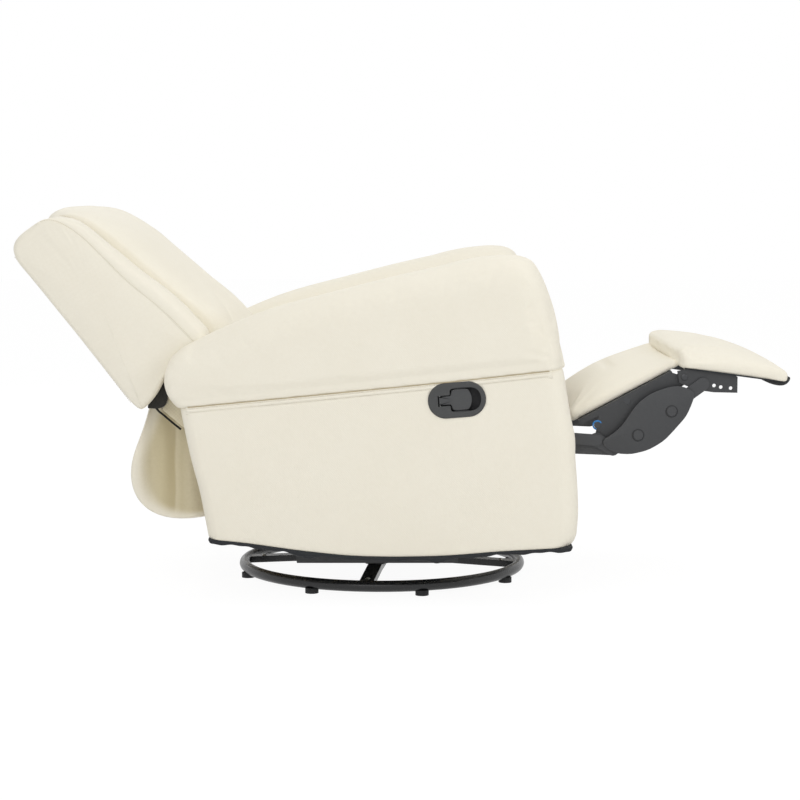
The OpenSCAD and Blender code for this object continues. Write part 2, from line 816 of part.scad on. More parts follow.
// Release cable from the latch cup down to the mechanism rail, inside the panel
module release_cable() {
    yc = frame_y + frame_t + cable_r + cable_slot;
    dir = latch_mid - cable_gate;
    run = norm(dir) - 4 * cable_r;
    end = cable_gate + dir * run / norm(dir);
    color("#2a2b2c") {
        translate([cable_gate[0], -yc, cable_gate[1]])
            rotate([0, atan2(dir[0], dir[1]), 0])
                cylinder(r = cable_r, h = run, $fn = small_fn);
        translate([cable_gate[0], -yc, cable_gate[1]]) sphere(cable_r, $fn = small_fn);
        translate([end[0], -yc, end[1]]) sphere(cable_r, $fn = small_fn);
        translate([end[0], -yc, end[1]])
            rotate([90, 0, 0]) cylinder(r = cable_r, h = cup_y - gap - yc, $fn = small_fn);
        translate([cable_gate[0], -yc, cable_gate[1]])
            rotate([-90, 0, 0])
                cylinder(r = cable_r, h = yc - mech_y - mech_t - gap, $fn = small_fn);
    }
}

// Back, drawn upright in its own frame: x forward, z up, with its lower rear corner at the origin
back_at = [-445, 369];
module reclined() {
    translate([back_at[0], 0, back_at[1]])
        rotate([0, -back_lean, 0])
            children();
}
under_shares = [[-0.1, 0.03], [-0.04, 0.006], [0.02, 0.008], [0.136, 0.059], [0.272, 0.088],
    [0.408, 0.105], [0.544, 0.115],
    [0.68, 0.124], [0.884, 0.127], [1.02, 0.137]];
top_shares = [[-0.12, 0.93], [-0.04, 0.952], [0.054, 0.966], [0.3, 0.967], [0.41, 0.963],
    [0.585, 0.954], [0.75, 0.945], [1.02, 0.94]];
rear_shares_back = [[0, 0.065], [0.1, 0.08], [0.4, 0.095], [0.85, 0.11], [1, 0.11]];
seam_d_shares = [[0.12, 1], [0.38, 0.898], [0.668, 0.803], [0.98, 0.612]];
function seam_d(u) = back_d * lookup(u / back_l, seam_d_shares);
back_levels = [[0, 6], [0.012, 1], [0.04, 0], [0.2, 0], [0.4, 0], [0.6, 0], [0.8, 0], [0.93, 0],
    [0.985, 3], [1, 12]];
back_r = 24;
function back_ring(v, inset) =
    let (d = seam_d(back_l * (0.132 + 0.813 * v)), n0 = -back_d * lookup(v, rear_shares_back))
    [for (p = loop(n0 + inset, d - inset, back_hw - inset, back_r - inset))
        let (lo = back_l * lookup(p[0] / back_d, under_shares),
             hi = back_l * lookup(p[0] / back_d, top_shares))
        [p[0], p[1], lo + (hi - lo) * v]];
pocket_x0 = 16;
pocket_x1 = 72;
pocket_top = 366;
bracket_y = mech_y - 6;
pocket_hw = bracket_y + link_t + gap;
module back_shell() {
    color("#ece7d4")
        reclined() difference() {
            skin([for (l = back_levels) back_ring(l[0], l[1])]);
            translate([pocket_x0, -pocket_hw, -over])
                cube([pocket_x1 - pocket_x0, 2 * pocket_hw, pocket_top + over]);
        }
}
board_x = 20;
board_t = 18;
board_hw = bracket_y - 4;
board_z0 = 54;
board_z1 = 362;
module back_frame() {
    window_w = 110;
    window_h = 90;
    window_low = 45;
    pitch_y = 123.2;
    pitch_z = 126;
    color("#c9a877")
        reclined() translate([board_x, 0, 0]) rotate([90, 0, 90]) linear_extrude(board_t)
            difference() {
                translate([-board_hw, board_z0]) square([2 * board_hw, board_z1 - board_z0]);
                for (y = [-1.5:1:1.5], z = [0, 1])
                    translate([y * pitch_y - window_w / 2, board_z0 + window_low + z * pitch_z])
                        square([window_w, window_h]);
            }
}
// Back bracket: from the recline pivot up into the pocket of the back
bracket_x0 = 38.4;
bracket_x1 = 68;
pivot_rel = [back_pivot[0] - back_at[0], back_pivot[1] - back_at[1]];
pivot_n = pivot_rel[0] * cos(back_lean) + pivot_rel[1] * sin(back_lean);
pivot_u = pivot_rel[1] * cos(back_lean) - pivot_rel[0] * sin(back_lean);
bracket_top = 200;
bracket_foot_in = [-17, -9];
bracket_foot_out = [17, 7];
bracket_foot_z = [10, 6];
bracket_flange_w = 28;
module back_brackets() {
    color("#4a4b4c") {
        reclined() both(bracket_y, link_t)
            union() {
                disc([pivot_n, pivot_u], mech_end_r);
                polygon([[pivot_n, pivot_u] + bracket_foot_in, [pivot_n, pivot_u] + bracket_foot_out,
                    [bracket_x1, bracket_foot_z[0]], [bracket_x1, bracket_top],
                    [bracket_x0, bracket_top], [bracket_x0, bracket_foot_z[1]]]);
            }
        reclined() both(bracket_y - bracket_flange_w, bracket_flange_w + link_t)
            translate([bracket_x0, board_z0]) square([link_t, bracket_top - board_z0]);
        both(bracket_y, mech_y + mech_t - bracket_y) disc(back_pivot, rivet_r + rivet_wall);
    }
}
bolster_t = 40;
bolster_points = 24;
bolster_hw = 34;
bolster_in = 2;
bolster_taper_share = 0.3;
bolster_stops_share = [[0.163, 0.5], [0.17, 0.8], [0.19, 0.95], [0.25, 1], [0.4, 1], [0.55, 1],
    [0.7, 1], [0.82, 0.95], [0.9, 0.82], [0.93, 0.6], [0.945, 0.35]];
roll_level_share = 0.3;
roll_front_share = 0.8;
roll_rear_share = 0.3;
roll_side_share = 0.45;
function roll_ring(u, yc, hw, n0, n1, m) = [for (i = [0:m - 1])
    let (a = 360 * i / m, c = cos(a), q = sin(a), nm = n0 + (n1 - n0) * roll_level_share)
    [q < 0 ? nm + (n1 - nm) * bend(-q, roll_front_share)
        : nm - (nm - n0) * bend(q, roll_rear_share), yc + hw * bend(c, roll_side_share), u]];
module back_bolster(side) {
    color("#f0ebd8")
        reclined()
            mirror([0, side > 0 ? 0 : 1, 0])
                skin([for (s = bolster_stops_share) let (u = back_l * s[0])
                    roll_ring(u, back_hw - bolster_hw - bolster_in,
                        bolster_hw * (1 - bolster_taper_share * (1 - s[1])),
                        seam_d(u) + gap * 3, seam_d(u) + bolster_t * s[1], bolster_points)]);
}
module back_bolster_l() {
    back_bolster(1);
}
module back_bolster_r() {
    back_bolster(-1);
}
// Centre cushion: its rear and front faces along the back, as shares of the seam's depth
cushion_rear_shares = [[-0.059, 1.36], [-0.03, 1.12], [0.005, 0.84], [0.08, 0.93], [0.125, 0.995]];
cushion_end_in = 26;
cushion_turn_in = 9;
cushion_points = 36;
function cushion_rear(s) = s > 0.125 ? seam_d(back_l * s) + 2 * gap
    : back_d * lookup(s, cushion_rear_shares) + 2 * gap;
cushion_front_shares = [[-0.059, 1.46], [-0.03, 1.51], [0.005, 1.54], [0.085, 1.55],
    [0.366, 1.38], [0.59, 1.26], [0.77, 1.08], [0.885, 0.91], [0.945, 0.77], [0.965, 0.69]];
cushion_stops_share = [-0.058, -0.045, -0.025, 0.005, 0.05, 0.125, 0.25, 0.38, 0.5, 0.62, 0.74,
    0.85, 0.91, 0.945, 0.963];
module back_cushion() {
    n = len(cushion_stops_share);
    color("#f2eddb")
        reclined()
            skin([for (i = [0:n - 1]) let (s = cushion_stops_share[i],
                end = min(i, n - 1 - i), in = end == 0 ? cushion_end_in : end == 1 ? cushion_turn_in : 0)
                roll_ring(back_l * s, 0, lumbar_hw - in, cushion_rear(s),
                    back_d * lookup(s, cushion_front_shares), cushion_points)]);
}

// Swing links carry the seat in the chassis
module swing_links(low) {
    color("#5b5c5e")
        both(swing_y, swing_t) difference() {
            strip(low, low + swing_rise, swing_w);
            disc(low, swing_pin_r + run_gap);
            disc(low + swing_rise, swing_pin_r + run_gap);
        }
}
module rear_swing_links() {
    swing_links(swing_rear);
}
module front_swing_links() {
    swing_links(swing_front);
}

// Seat
seat_plate_x0 = -185;
seat_plate_x1 = 284;
seat_plate_low = 272;
seat_frame_z = 362;
seat_plate_top = seat_frame_z - gap;
seat_frame_x1 = 226;
stringer_w = 25;
seat_plate_nose = 20;
seat_eye_r = 19;
swing_eye_r = 18;
seat_flange_w = 28;
module seat_plate(side) {
    color("#4a4b4c") {
        plate(side, plate_y, link_t) difference() {
            union() {
                polygon([[seat_plate_x0, seat_plate_low], [seat_plate_x1 - seat_plate_nose, seat_plate_low],
                    [seat_plate_x1 - seat_plate_nose, pin_b[1] + seat_plate_nose],
                    [seat_frame_x1, seat_plate_top],
                    [seat_plate_x0, seat_plate_top]]);
                disc(pin_b, seat_eye_r);
                disc(swing_rear + swing_rise, swing_eye_r);
                disc(swing_front + swing_rise, swing_eye_r);
            }
            disc(pin_a, tube_r + run_gap * 2);
        }
        plate(side, plate_y - seat_flange_w, seat_flange_w + link_t)
            translate([seat_plate_x0, seat_plate_top - link_t])
                square([seat_frame_x1 - seat_plate_x0, link_t]);
        for (p = [swing_rear, swing_front])
            plate(side, plate_y + link_t, swing_y + swing_t + 1 - plate_y - link_t)
                disc(p + swing_rise, swing_pin_r);
        plate(side, plate_y + link_t, layer_l2 + link_t + rivet_over - plate_y - link_t)
            disc(pin_b, rivet_r);
    }
}
module seat_plate_l() {
    seat_plate(1);
}
module seat_plate_r() {
    seat_plate(-1);
}
lip_l = 70;
lip_t = 6;
seat_frame_in = 5;
seat_bays = 4;
seat_frame_hw = seat_hw - seat_frame_in;
module seat_frame() {
    h = seat_z - gap - seat_frame_z;
    l = seat_frame_x1 - seat_x0;
    color("#c9a877") {
        for (i = [0:seat_bays])
            translate([seat_x0, -seat_frame_hw + i * (2 * seat_frame_hw - stringer_w) / seat_bays,
                seat_frame_z])
                cube([l, stringer_w, h - link_t - 1]);
        for (x = [seat_x0, seat_frame_x1 - stringer_w])
            translate([x, -seat_frame_hw, seat_frame_z])
                cube([stringer_w, 2 * seat_frame_hw, h]);
        translate([seat_frame_x1 - over, -seat_frame_hw, seat_z - gap - lip_t])
            cube([lip_l + over, 2 * seat_frame_hw, lip_t]);
    }
}
// Sinuous springs, one over each gap of the frame
wave_w = 50;
wave_wire = 3;
wave_count = 9;
wave_steps = 8;
module seat_springs() {
    l = seat_frame_x1 - seat_x0 - 2 * stringer_w - 2 * gap;
    n = wave_steps * wave_count;
    pitch = (2 * seat_frame_hw - stringer_w) / seat_bays;
    color("#9a9c9e")
        for (i = [0:seat_bays - 1])
            translate([seat_x0 + stringer_w + gap, -seat_frame_hw + stringer_w / 2 + (i + 0.5) * pitch,
                seat_z - 2 * gap - wave_wire])
                linear_extrude(wave_wire)
                    polygon(concat(
                        [for (k = [0:n]) [l * k / n, wave_w / 2 * sin(360 * wave_count * k / n)
                            - wave_wire / 2]],
                        [for (k = [n:-1:0]) [l * k / n, wave_w / 2 * sin(360 * wave_count * k / n)
                            + wave_wire / 2]]));
}
seat_rim = 24;
seat_corner_r = 30;
seat_draw = 4;
module seat_cushion() {
    color("#f2eddb")
        translate([0, 0, seat_z])
            slab(seat_x0, seat_x1, seat_hw, seat_t, seat_rim, seat_corner_r, seat_crown, seat_draw);
}

// Footrest linkage
module front_links() {
    color("#4a4b4c") {
        both(layer_l2, link_t) difference() {
            union() {
                strip(pin_b, pin_q, link_w);
                strip(pin_b, pin_p2, link_w);
                strip(pin_p2, pin_q, link_w);
            }
            disc(pin_b, rivet_r + run_gap);
            disc(pin_p2, rivet_r + run_gap);
        }
        both(layer_l2 + link_t, layer_u1 + link_t + rivet_over - layer_l2 - link_t) disc(pin_q, rivet_r);
    }
}
rear_link_in = 3;
rear_link_w = link_w - rear_link_in;
module rear_links() {
    color("#565759") {
        both(layer_l1, link_t) difference() {
            strip(pin_a, pin_p1, rear_link_w);
            disc(pin_a, tube_r - tube_wall);
        }
        both(layer_u1, link_t + layer_gap) disc(pin_p1, float_r);
    }
}
module drive_tube() {
    color("#9a9c9e")
        rotate([90, 0, 0])
            translate([pin_a[0], pin_a[1], -layer_l1 + gap / 3])
                linear_extrude(2 * layer_l1 - 2 * gap / 3)
                    difference() {
                        circle(tube_r);
                        circle(tube_r - tube_wall);
                    }
}
// Places of the two cover screws along the lower ottoman link
cap_at = [[495, 310], [559, 356]];
module lower_ottoman_links() {
    color("#4a4b4c") {
        both(layer_u1, link_t) difference() {
            union() {
                strip(pin_q, pin_f1, link_w);
                strip(pin_q, pin_p1, link_w);
                disc(pin_p1, eye_ring_r);
            }
            disc(pin_q, rivet_r + run_gap);
            disc(pin_p1, eye_r);
        }
        both(layer_bracket, layer_gap + link_t) disc(pin_f1, rivet_r);
        both(layer_u1 + link_t, layer_cover - layer_u1 - link_t - run_gap)
            for (p = cap_at) disc(p, rivet_r + 1);
    }
}
cover_mid = [514, 336];
cover_l = 204;
cover_w = 92;
cover_a = 29;
cover_steps = 64;
cover_tip_share = 1.15;
cover_side_share = 0.92;
module link_covers() {
    color("#3f4042")
        both(layer_cover, cover_t)
            translate(cover_mid)
                rotate(cover_a)
                    polygon([for (i = [0:cover_steps - 1]) let (a = 360 * i / cover_steps)
                        [cover_l / 2 * bend(cos(a), cover_tip_share),
                            cover_w / 2 * bend(sin(a), cover_side_share)]]);
}
module cover_caps() {
    color("#55575a")
        for (side = [-1, 1], p = cap_at)
            mirror([0, side > 0 ? 1 : 0, 0])
                translate([p[0], -layer_cover - cover_t - run_gap, p[1]])
                    rotate([90, 0, 0])
                        cylinder(r1 = cap_r, r2 = cap_r - cap_t, h = cap_t);
}
channel_w = 20;
channel_t = 11;
channel_in = 15;
channel_web_l = 60;
channel_web_share = 0.6;
module upper_ottoman_links() {
    color("#4a4b4c") {
        both(layer_u2, link_t)
            union() {
                strip(pin_p2, pin_f2, link_w);
                translate(mid_at)
                    rotate(mid_slope)
                        translate([channel_in, -gap - channel_t])
                            square([mid_l - 2 * channel_in, channel_t]);
                polygon([pin_p2, pin_f2, pin_f2 + crank * channel_web_share,
                    mid_at + channel_web_l * [cos(mid_slope), sin(mid_slope)] - [0, channel_t]]);
            }
        both(layer_u2 - channel_w, channel_w)
            translate(mid_at)
                rotate(mid_slope)
                    translate([channel_in, -gap - link_t])
                        square([mid_l - 2 * channel_in, link_t]);
        both(layer_u2 + link_t, layer_l2 + link_t + rivet_over - layer_u2 - link_t)
            disc(pin_p2, rivet_r);
        both(layer_u2 + link_t, layer_bracket + link_t + rivet_over - layer_u2 - link_t)
            disc(pin_f2, rivet_r);
    }
}
mid_at = [368, 331];
mid_crown = 26;
mid_taper = 0.5;
mid_rim = 11;
mid_corner_r = 16;
pad_draw = 3;
pocket_t = 10;
pocket_in = 22;
module on_mid() {
    translate([mid_at[0], 0, mid_at[1]])
        rotate([0, -mid_slope, 0])
            children();
}
module mid_board() {
    color("#c9a877")
        on_mid()
            translate([pocket_in, -mid_hw + pocket_in, 0])
                cube([mid_l - 2 * pocket_in, 2 * (mid_hw - pocket_in), pocket_t]);
}
module mid_panel() {
    color("#f0ebd8")
        on_mid() difference() {
            slab(0, mid_l, mid_hw, mid_t, mid_rim, mid_corner_r, mid_crown, pad_draw, 0, mid_taper);
            translate([pocket_in - gap, -mid_hw + pocket_in - gap, -over])
                cube([mid_l - 2 * pocket_in + 2 * gap, 2 * (mid_hw - pocket_in + gap),
                    pocket_t + gap + over]);
        }
}
foot_at = [581, 438];
foot_crown = 13;
foot_rake = 34;
foot_taper = 0.42;
foot_rim = 15;
foot_corner_r = 20;
board_l = 130;
module on_foot() {
    translate([foot_at[0], 0, foot_at[1]])
        rotate([0, foot_slope, 0])
            children();
}
bracket_outline = [[570, 433], [584, 436], [686, 422], [686, 391], [640, 392], [619, 395],
    [604, 398], [574, 410]];
bracket_flange_l = 100;
bracket_flange_in = 4;
foot_flange_w = 26;
tilt_gap = 0.6;
bracket_holes = [[641, 405], [654, 402], [673, 400]];
bracket_hole_r = 3.5;
module footrest_brackets() {
    color("#4a4b4c") {
        both(layer_bracket, link_t) difference() {
            polygon(bracket_outline);
            disc(pin_f1, rivet_r + run_gap);
            disc(pin_f2, rivet_r + tilt_gap);
            for (p = bracket_holes) disc(p, bracket_hole_r);
        }
        both(layer_bracket - foot_flange_w, foot_flange_w + link_t)
            translate(foot_at)
                rotate(-foot_slope)
                    translate([bracket_flange_in, -gap - link_t])
                        square([bracket_flange_l, link_t]);
    }
}
module footrest_board() {
    color("#c9a877")
        on_foot()
            translate([pocket_in, -foot_hw + pocket_in, 0])
                cube([board_l, 2 * (foot_hw - pocket_in), pocket_t]);
}
module footrest_pad() {
    color("#f0ebd8")
        on_foot() difference() {
            slab(0, foot_l, foot_hw, foot_t, foot_rim, foot_corner_r, foot_crown, pad_draw, foot_rake,
                foot_taper);
            translate([pocket_in - gap, -foot_hw + pocket_in - gap, -over])
                cube([board_l + 2 * gap, 2 * (foot_hw - pocket_in + gap),
                    pocket_t + gap + over]);
        }
}
bumper_l = 34;
bumper_t = 6;
bumper_nose = 6;
bumper_in = 12;
bumper_hw = foot_hw - bumper_in;
module nose_bumper() {
    color("#35373a")
        on_foot()
            translate([foot_l - bumper_l - bumper_nose, -bumper_hw, -bumper_t - gap])
                cube([bumper_l, 2 * bumper_hw, bumper_t]);
}

base_ring();
base_cross();
floor_glides();
spoke_screws();
bearing_lower();
bearing_balls();
swivel_bolt();
bearing_upper();
swivel_plate();
rocker_pin();
rocker_springs();
rocker_frame();
cross_rail_rear();
cross_rail_front();
mechanism_rail_l();
mechanism_rail_r();
side_frame_l();
side_frame_r();
side_panel_l();
side_panel_r();
arm_pad_l();
arm_pad_r();
arm_welt_l();
arm_welt_r();
bottom_trim();
rear_rail();
rear_skirt();
latch_bezel();
latch_pin();
release_cable();
side_bolts();
latch_paddle();
back_shell();
back_frame();
back_brackets();
back_bolster_l();
back_bolster_r();
back_cushion();
rear_swing_links();
front_swing_links();
seat_plate_l();
seat_plate_r();
seat_frame();
seat_springs();
seat_cushion();
front_links();
rear_links();
drive_tube();
lower_ottoman_links();
link_covers();
cover_caps();
upper_ottoman_links();
mid_board();
mid_panel();
footrest_brackets();
footrest_board();
footrest_pad();
nose_bumper();
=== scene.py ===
import math

import bmesh
import bpy
import numpy as np
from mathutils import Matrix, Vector


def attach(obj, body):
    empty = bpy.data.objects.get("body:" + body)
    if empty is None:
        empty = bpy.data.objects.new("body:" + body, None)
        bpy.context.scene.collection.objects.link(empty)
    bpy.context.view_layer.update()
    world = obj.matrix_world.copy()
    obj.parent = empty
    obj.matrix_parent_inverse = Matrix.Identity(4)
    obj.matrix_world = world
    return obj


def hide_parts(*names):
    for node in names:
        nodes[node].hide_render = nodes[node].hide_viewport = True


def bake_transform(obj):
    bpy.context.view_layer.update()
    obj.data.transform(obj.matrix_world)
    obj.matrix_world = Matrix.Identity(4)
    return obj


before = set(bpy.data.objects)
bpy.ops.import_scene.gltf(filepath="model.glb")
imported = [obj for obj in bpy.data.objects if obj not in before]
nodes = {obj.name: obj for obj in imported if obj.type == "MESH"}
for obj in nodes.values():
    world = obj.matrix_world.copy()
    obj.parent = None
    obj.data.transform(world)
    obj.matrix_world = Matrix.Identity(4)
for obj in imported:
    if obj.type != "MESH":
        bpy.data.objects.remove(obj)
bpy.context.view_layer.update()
scene = bpy.context.scene

# The view: a long lens a little above the arms, square on the recliner's right-hand side,
# with a plain white sheet behind and under it and broad soft lamps.


def added(name, data, place=(0, 0, 0)):
    """A new object in the scene."""
    obj = bpy.data.objects.new(name, data)
    obj.location = place
    scene.collection.objects.link(obj)
    return obj


def cleared(owner):
    """The empty node tree of a material or a world."""
    owner.use_nodes = True
    owner.node_tree.nodes.clear()
    return owner.node_tree


def material(name):
    """A new material and its empty node tree."""
    made = bpy.data.materials.new(name)
    return made, cleared(made)


def wired(tree, kind, inputs=(), **settings):
    """A node, a shader node unless its kind says more. An input is a value, a node or an
    output."""
    made = tree.nodes.new(kind if "Node" in kind else "ShaderNode" + kind)
    for key, value in settings.items():
        setattr(made, key, value)
    for key, value in dict(inputs).items():
        if isinstance(value, bpy.types.Node):
            value = value.outputs[0]
        if isinstance(value, bpy.types.NodeSocket):
            tree.links.new(value, made.inputs[key])
        else:
            made.inputs[key].default_value = value
    return made


def maths(tree, how, *values):
    """The output of one Math node; each value is a number or an output."""
    return wired(tree, "Math", enumerate(values), operation=how).outputs[0]


def times(tree, *values):
    """The product of two numbers or outputs."""
    return maths(tree, "MULTIPLY", *values)


def seen_directly(tree):
    """1 for a ray from the camera or a reflection, 0 for light on the object."""
    path = wired(tree, "LightPath").outputs
    plain = maths(tree, "MAXIMUM", path["Is Camera Ray"], path["Is Glossy Ray"])
    return maths(tree, "MAXIMUM", plain, path["Is Transmission Ray"])


LENS, VIEW_DROP = 95.41, 5.696
view = bpy.data.cameras.new("view")
view.sensor_width = 36
view.lens = LENS
scene.camera = added("view", view, (0.0372, -4.3115, 0.7819))
scene.camera.rotation_euler = (math.radians(90 - VIEW_DROP), 0, 0)
scene.view_settings.view_transform = "Standard"

paper, tree = material("paper_sweep")
lit = wired(tree, "BsdfDiffuse", {"Color": (0.94, 0.94, 0.94, 1)})
glow = wired(tree, "Emission", {"Strength": 1.05})
share = times(tree, seen_directly(tree), 0.9)
both = wired(tree, "MixShader", {0: share, 1: lit, 2: glow})
wired(tree, "OutputMaterial", {"Surface": both})

reach = 14
floor_mesh = bpy.data.meshes.new("floor")
floor_mesh.from_pydata([(-reach, -reach, 0), (reach, -reach, 0), (reach, reach, 0),
                        (-reach, reach, 0)], [], [(0, 1, 2, 3)])
floor_mesh.materials.append(paper)
added("floor", floor_mesh)

scene.world = bpy.data.worlds.new("studio")
tree = cleared(scene.world)
around, behind = [wired(tree, "Background", {"Color": (1, 1, 1, 1), "Strength": strength})
                  for strength in (0.53, 1)]
both = wired(tree, "MixShader", {0: seen_directly(tree), 1: around, 2: behind})
wired(tree, "OutputWorld", {"Surface": both})

for name, place, aim, size, watts in (
        ("lamp_front", (-0.6, -3.4, 2.6), (0, 0, 0.4), 2.4, 40),
        ("lamp_top", (0.3, 0.2, 3.4), (0, 0, 0.3), 2.6, 22),
        ("lamp_right", (2.8, -1.6, 2.0), (0.2, 0, 0.4), 1.8, 22),
        ("lamp_behind", (-1.2, 3.0, 2.2), (0, 0, 0.4), 2.4, 20)):
    lamp = bpy.data.lights.new(name, "AREA")
    lamp.size = size
    lamp.energy = watts
    turn = (Vector(aim) - Vector(place)).to_track_quat("-Z", "Y")
    added(name, lamp, place).rotation_euler = turn.to_euler()

# Base: a powder-coated ring of round steel tube on eight rubber glides, with four welded
# spokes that rise to the hub plate of the swivel bearing.


def new_group(name, kind, inputs, outputs):
    """A node group, from (name, type, start value) rows, and the outputs of its input node."""
    made = bpy.data.node_groups.new(name, kind)
    for way, rows in (("INPUT", inputs), ("OUTPUT", outputs)):
        for label, sort, *start in rows:
            end = made.interface.new_socket(label, in_out=way, socket_type="NodeSocket" + sort)
            if start:
                end.default_value = start[0]
    return made, wired(made, "NodeGroupInput").outputs


def plus(tree, *values):
    """The sum of two numbers or outputs."""
    return maths(tree, "ADD", *values)


def blended(tree, share, low, high):
    """A colour between two, each a tuple or an output."""
    return wired(tree, "Mix", {0: share, 6: low, 7: high}, data_type="RGBA").outputs[2]


def speckle(tree, place, scale, detail, rough):
    """Noise over a place, from 0 to 1."""
    return wired(tree, "TexNoise", {"Scale": scale, "Detail": detail, "Roughness": rough,
                                    "Vector": place}).outputs["Fac"]


def srgb(red, green, blue):
    """A colour as linear values, from its 0 to 255 screen values."""
    return tuple(((c / 255 + 0.055) / 1.055) ** 2.4 if c > 10 else c / 255 / 12.92
                 for c in (red, green, blue)) + (1,)


# What the two surface groups give out
SKIN_ENDS = [("Colour", "Color"), ("Roughness", "Float"), ("Height", "Float")]
# Paint and bare metal share one surface: fine grain, faint patches and a little dust
metal_skin, given = new_group("metal_skin", "ShaderNodeTree", [
    ("Place", "Vector"), ("Colour", "Color", (0.1, 0.1, 0.1, 1)),
    ("Worn", "Color", (0.3, 0.3, 0.3, 1)), ("Roughness", "Float", 0.4), ("Grain", "Float", 900)],
    SKIN_ENDS)
tree = metal_skin
patches = speckle(tree, given["Place"], 14, 4, 0.6)
scuffs = speckle(tree, given["Place"], 130, 5, 0.7)
grain = speckle(tree, given["Place"], given["Grain"], 2, 0.5)
wear = times(tree, maths(tree, "GREATER_THAN", scuffs, 0.68), 0.35)
share = plus(tree, wear, times(tree, patches, 0.16))
spread = times(tree, maths(tree, "SUBTRACT", scuffs, 0.5), 0.35)
wired(tree, "NodeGroupOutput", {
    "Colour": blended(tree, share, given["Colour"], given["Worn"]),
    "Roughness": plus(tree, given["Roughness"], spread),
    "Height": plus(tree, times(tree, grain, 0.6), times(tree, scuffs, 0.4))})


def surfaced(tree, colour, roughness, height, bump, depth, more=()):
    """Ends a material: its colour, its roughness and a relief of a depth in metres."""
    relief = wired(tree, "Bump", {"Strength": bump, "Distance": depth, "Height": height})
    shader = wired(tree, "BsdfPrincipled", {"Base Color": colour, "Roughness": roughness,
                                            "Normal": relief, **dict(more)})
    wired(tree, "OutputMaterial", {"Surface": shader})


def metal_finish(name, colour, worn, roughness, metallic, grain=900, bump=0.12):
    """Painted or plated metal, or moulded plastic where metallic is 0."""
    made, tree = material(name)
    skin = wired(tree, "Group", {
        "Place": wired(tree, "TexCoord").outputs["Object"], "Colour": srgb(*colour),
        "Worn": srgb(*worn), "Roughness": roughness, "Grain": grain}, node_tree=metal_skin).outputs
    surfaced(tree, *skin, bump, 0.0004, {"Metallic": metallic})
    return made


def finish(names, made):
    """Gives CAD nodes a material."""
    for name in names:
        data = nodes[name].data
        data.materials.clear()
        data.materials.append(made)


base_coat = metal_finish("base_coat", (20, 21, 23), (52, 53, 55), 0.3, 0.0)
rubber = metal_finish("glide_rubber", (30, 31, 32), (60, 60, 60), 0.75, 0.0, 1500, 0.3)
zinc = metal_finish("zinc_plate", (176, 178, 176), (205, 203, 196), 0.36, 1.0, 700, 0.1)
race_steel = metal_finish("race_steel", (150, 152, 154), (190, 190, 188), 0.3, 1.0, 500, 0.1)
finish(["base_ring", "base_cross"], base_coat)
finish(["floor_glides"], rubber)
finish(["spoke_screws", "bearing_balls", "swivel_bolt"], zinc)
finish(["bearing_lower", "bearing_upper"], race_steel)

# Rocker: folded steel plates, a turned pin and four coil springs between the swivel plate
# and the underframe.
plate_coat = metal_finish("plate_coat", (52, 54, 56), (92, 93, 94), 0.42, 0.0)
coil_steel = metal_finish("coil_steel", (120, 121, 124), (160, 158, 152), 0.34, 1.0, 600, 0.1)
finish(["swivel_plate"], plate_coat)
finish(["rocker_pin"], zinc)
finish(["rocker_springs", "seat_springs"], coil_steel)

# Underframe and mechanism: folded rails, pivot plates and links in grey-black paint, held
# with plated bolts.
mechanism_coat = metal_finish("mechanism_coat", (48, 49, 51), (84, 85, 86), 0.46, 0.0)
link_coat = metal_finish("link_coat", (56, 57, 59), (92, 93, 94), 0.42, 0.0)
finish(["rocker_frame", "cross_rail_rear", "cross_rail_front", "mechanism_rail_l",
        "mechanism_rail_r", "back_brackets", "seat_plate_l", "seat_plate_r", "footrest_brackets",
        "upper_ottoman_links"], mechanism_coat)
finish(["rear_swing_links", "front_swing_links", "front_links", "rear_links",
        "lower_ottoman_links"], link_coat)
finish(["side_bolts", "drive_tube", "latch_pin"], zinc)

# Wooden parts inside: plywood sides and boards and sawn rails, pale and unfinished. They are
# screwed to the steelwork, and the cloth is stapled to them.


def toned(tree, share, stops):
    """A colour from a ramp of (place, colour) stops."""
    ramp = wired(tree, "ValToRGB", {"Fac": share})
    elements = ramp.color_ramp.elements
    while len(elements) < len(stops):
        elements.new(0.5)
    for element, (at, tone) in zip(elements, stops):
        element.position = at
        element.color = srgb(*tone)
    return ramp.outputs["Color"]


def wood_finish(name, light, dark, along):
    """Sawn wood with its grain along one axis, given as three scales."""
    made, tree = material(name)
    place = wired(tree, "TexCoord").outputs["Object"]
    turn = wired(tree, "Mapping", {"Scale": along, "Vector": place}).outputs[0]
    rings, fibre = speckle(tree, turn, 6, 6, 0.62), speckle(tree, turn, 60, 3, 0.7)
    mixed = plus(tree, times(tree, rings, 0.75), times(tree, fibre, 0.35))
    surfaced(tree, toned(tree, mixed, [(0.3, dark), (0.7, light)]), 0.7, mixed, 0.3, 0.0006)
    return made


plywood = wood_finish("plywood", (214, 184, 138), (176, 138, 92), (1, 6, 1))
pine_rail = wood_finish("pine_rail", (222, 192, 144), (186, 146, 98), (6, 1, 6))
finish(["side_frame_l", "side_frame_r", "back_frame", "seat_frame"], plywood)
finish(["rear_rail", "mid_board", "footrest_board"], pine_rail)

# Upholstery cloth: a pale cream plain weave with small slubs and a soft, dry handle. It
# covers the arms, the back, the seat and the footrest.
weave_group, given = new_group("plain_weave", "ShaderNodeTree", [
    ("Place", "Vector"), ("Facing", "Vector"), ("Colour", "Color", (0.8, 0.8, 0.7, 1)),
    ("Shade", "Color", (0.7, 0.7, 0.6, 1)), ("Threads", "Float", 620)], SKIN_ENDS)
tree, place, facing = weave_group, given["Place"], given["Facing"]
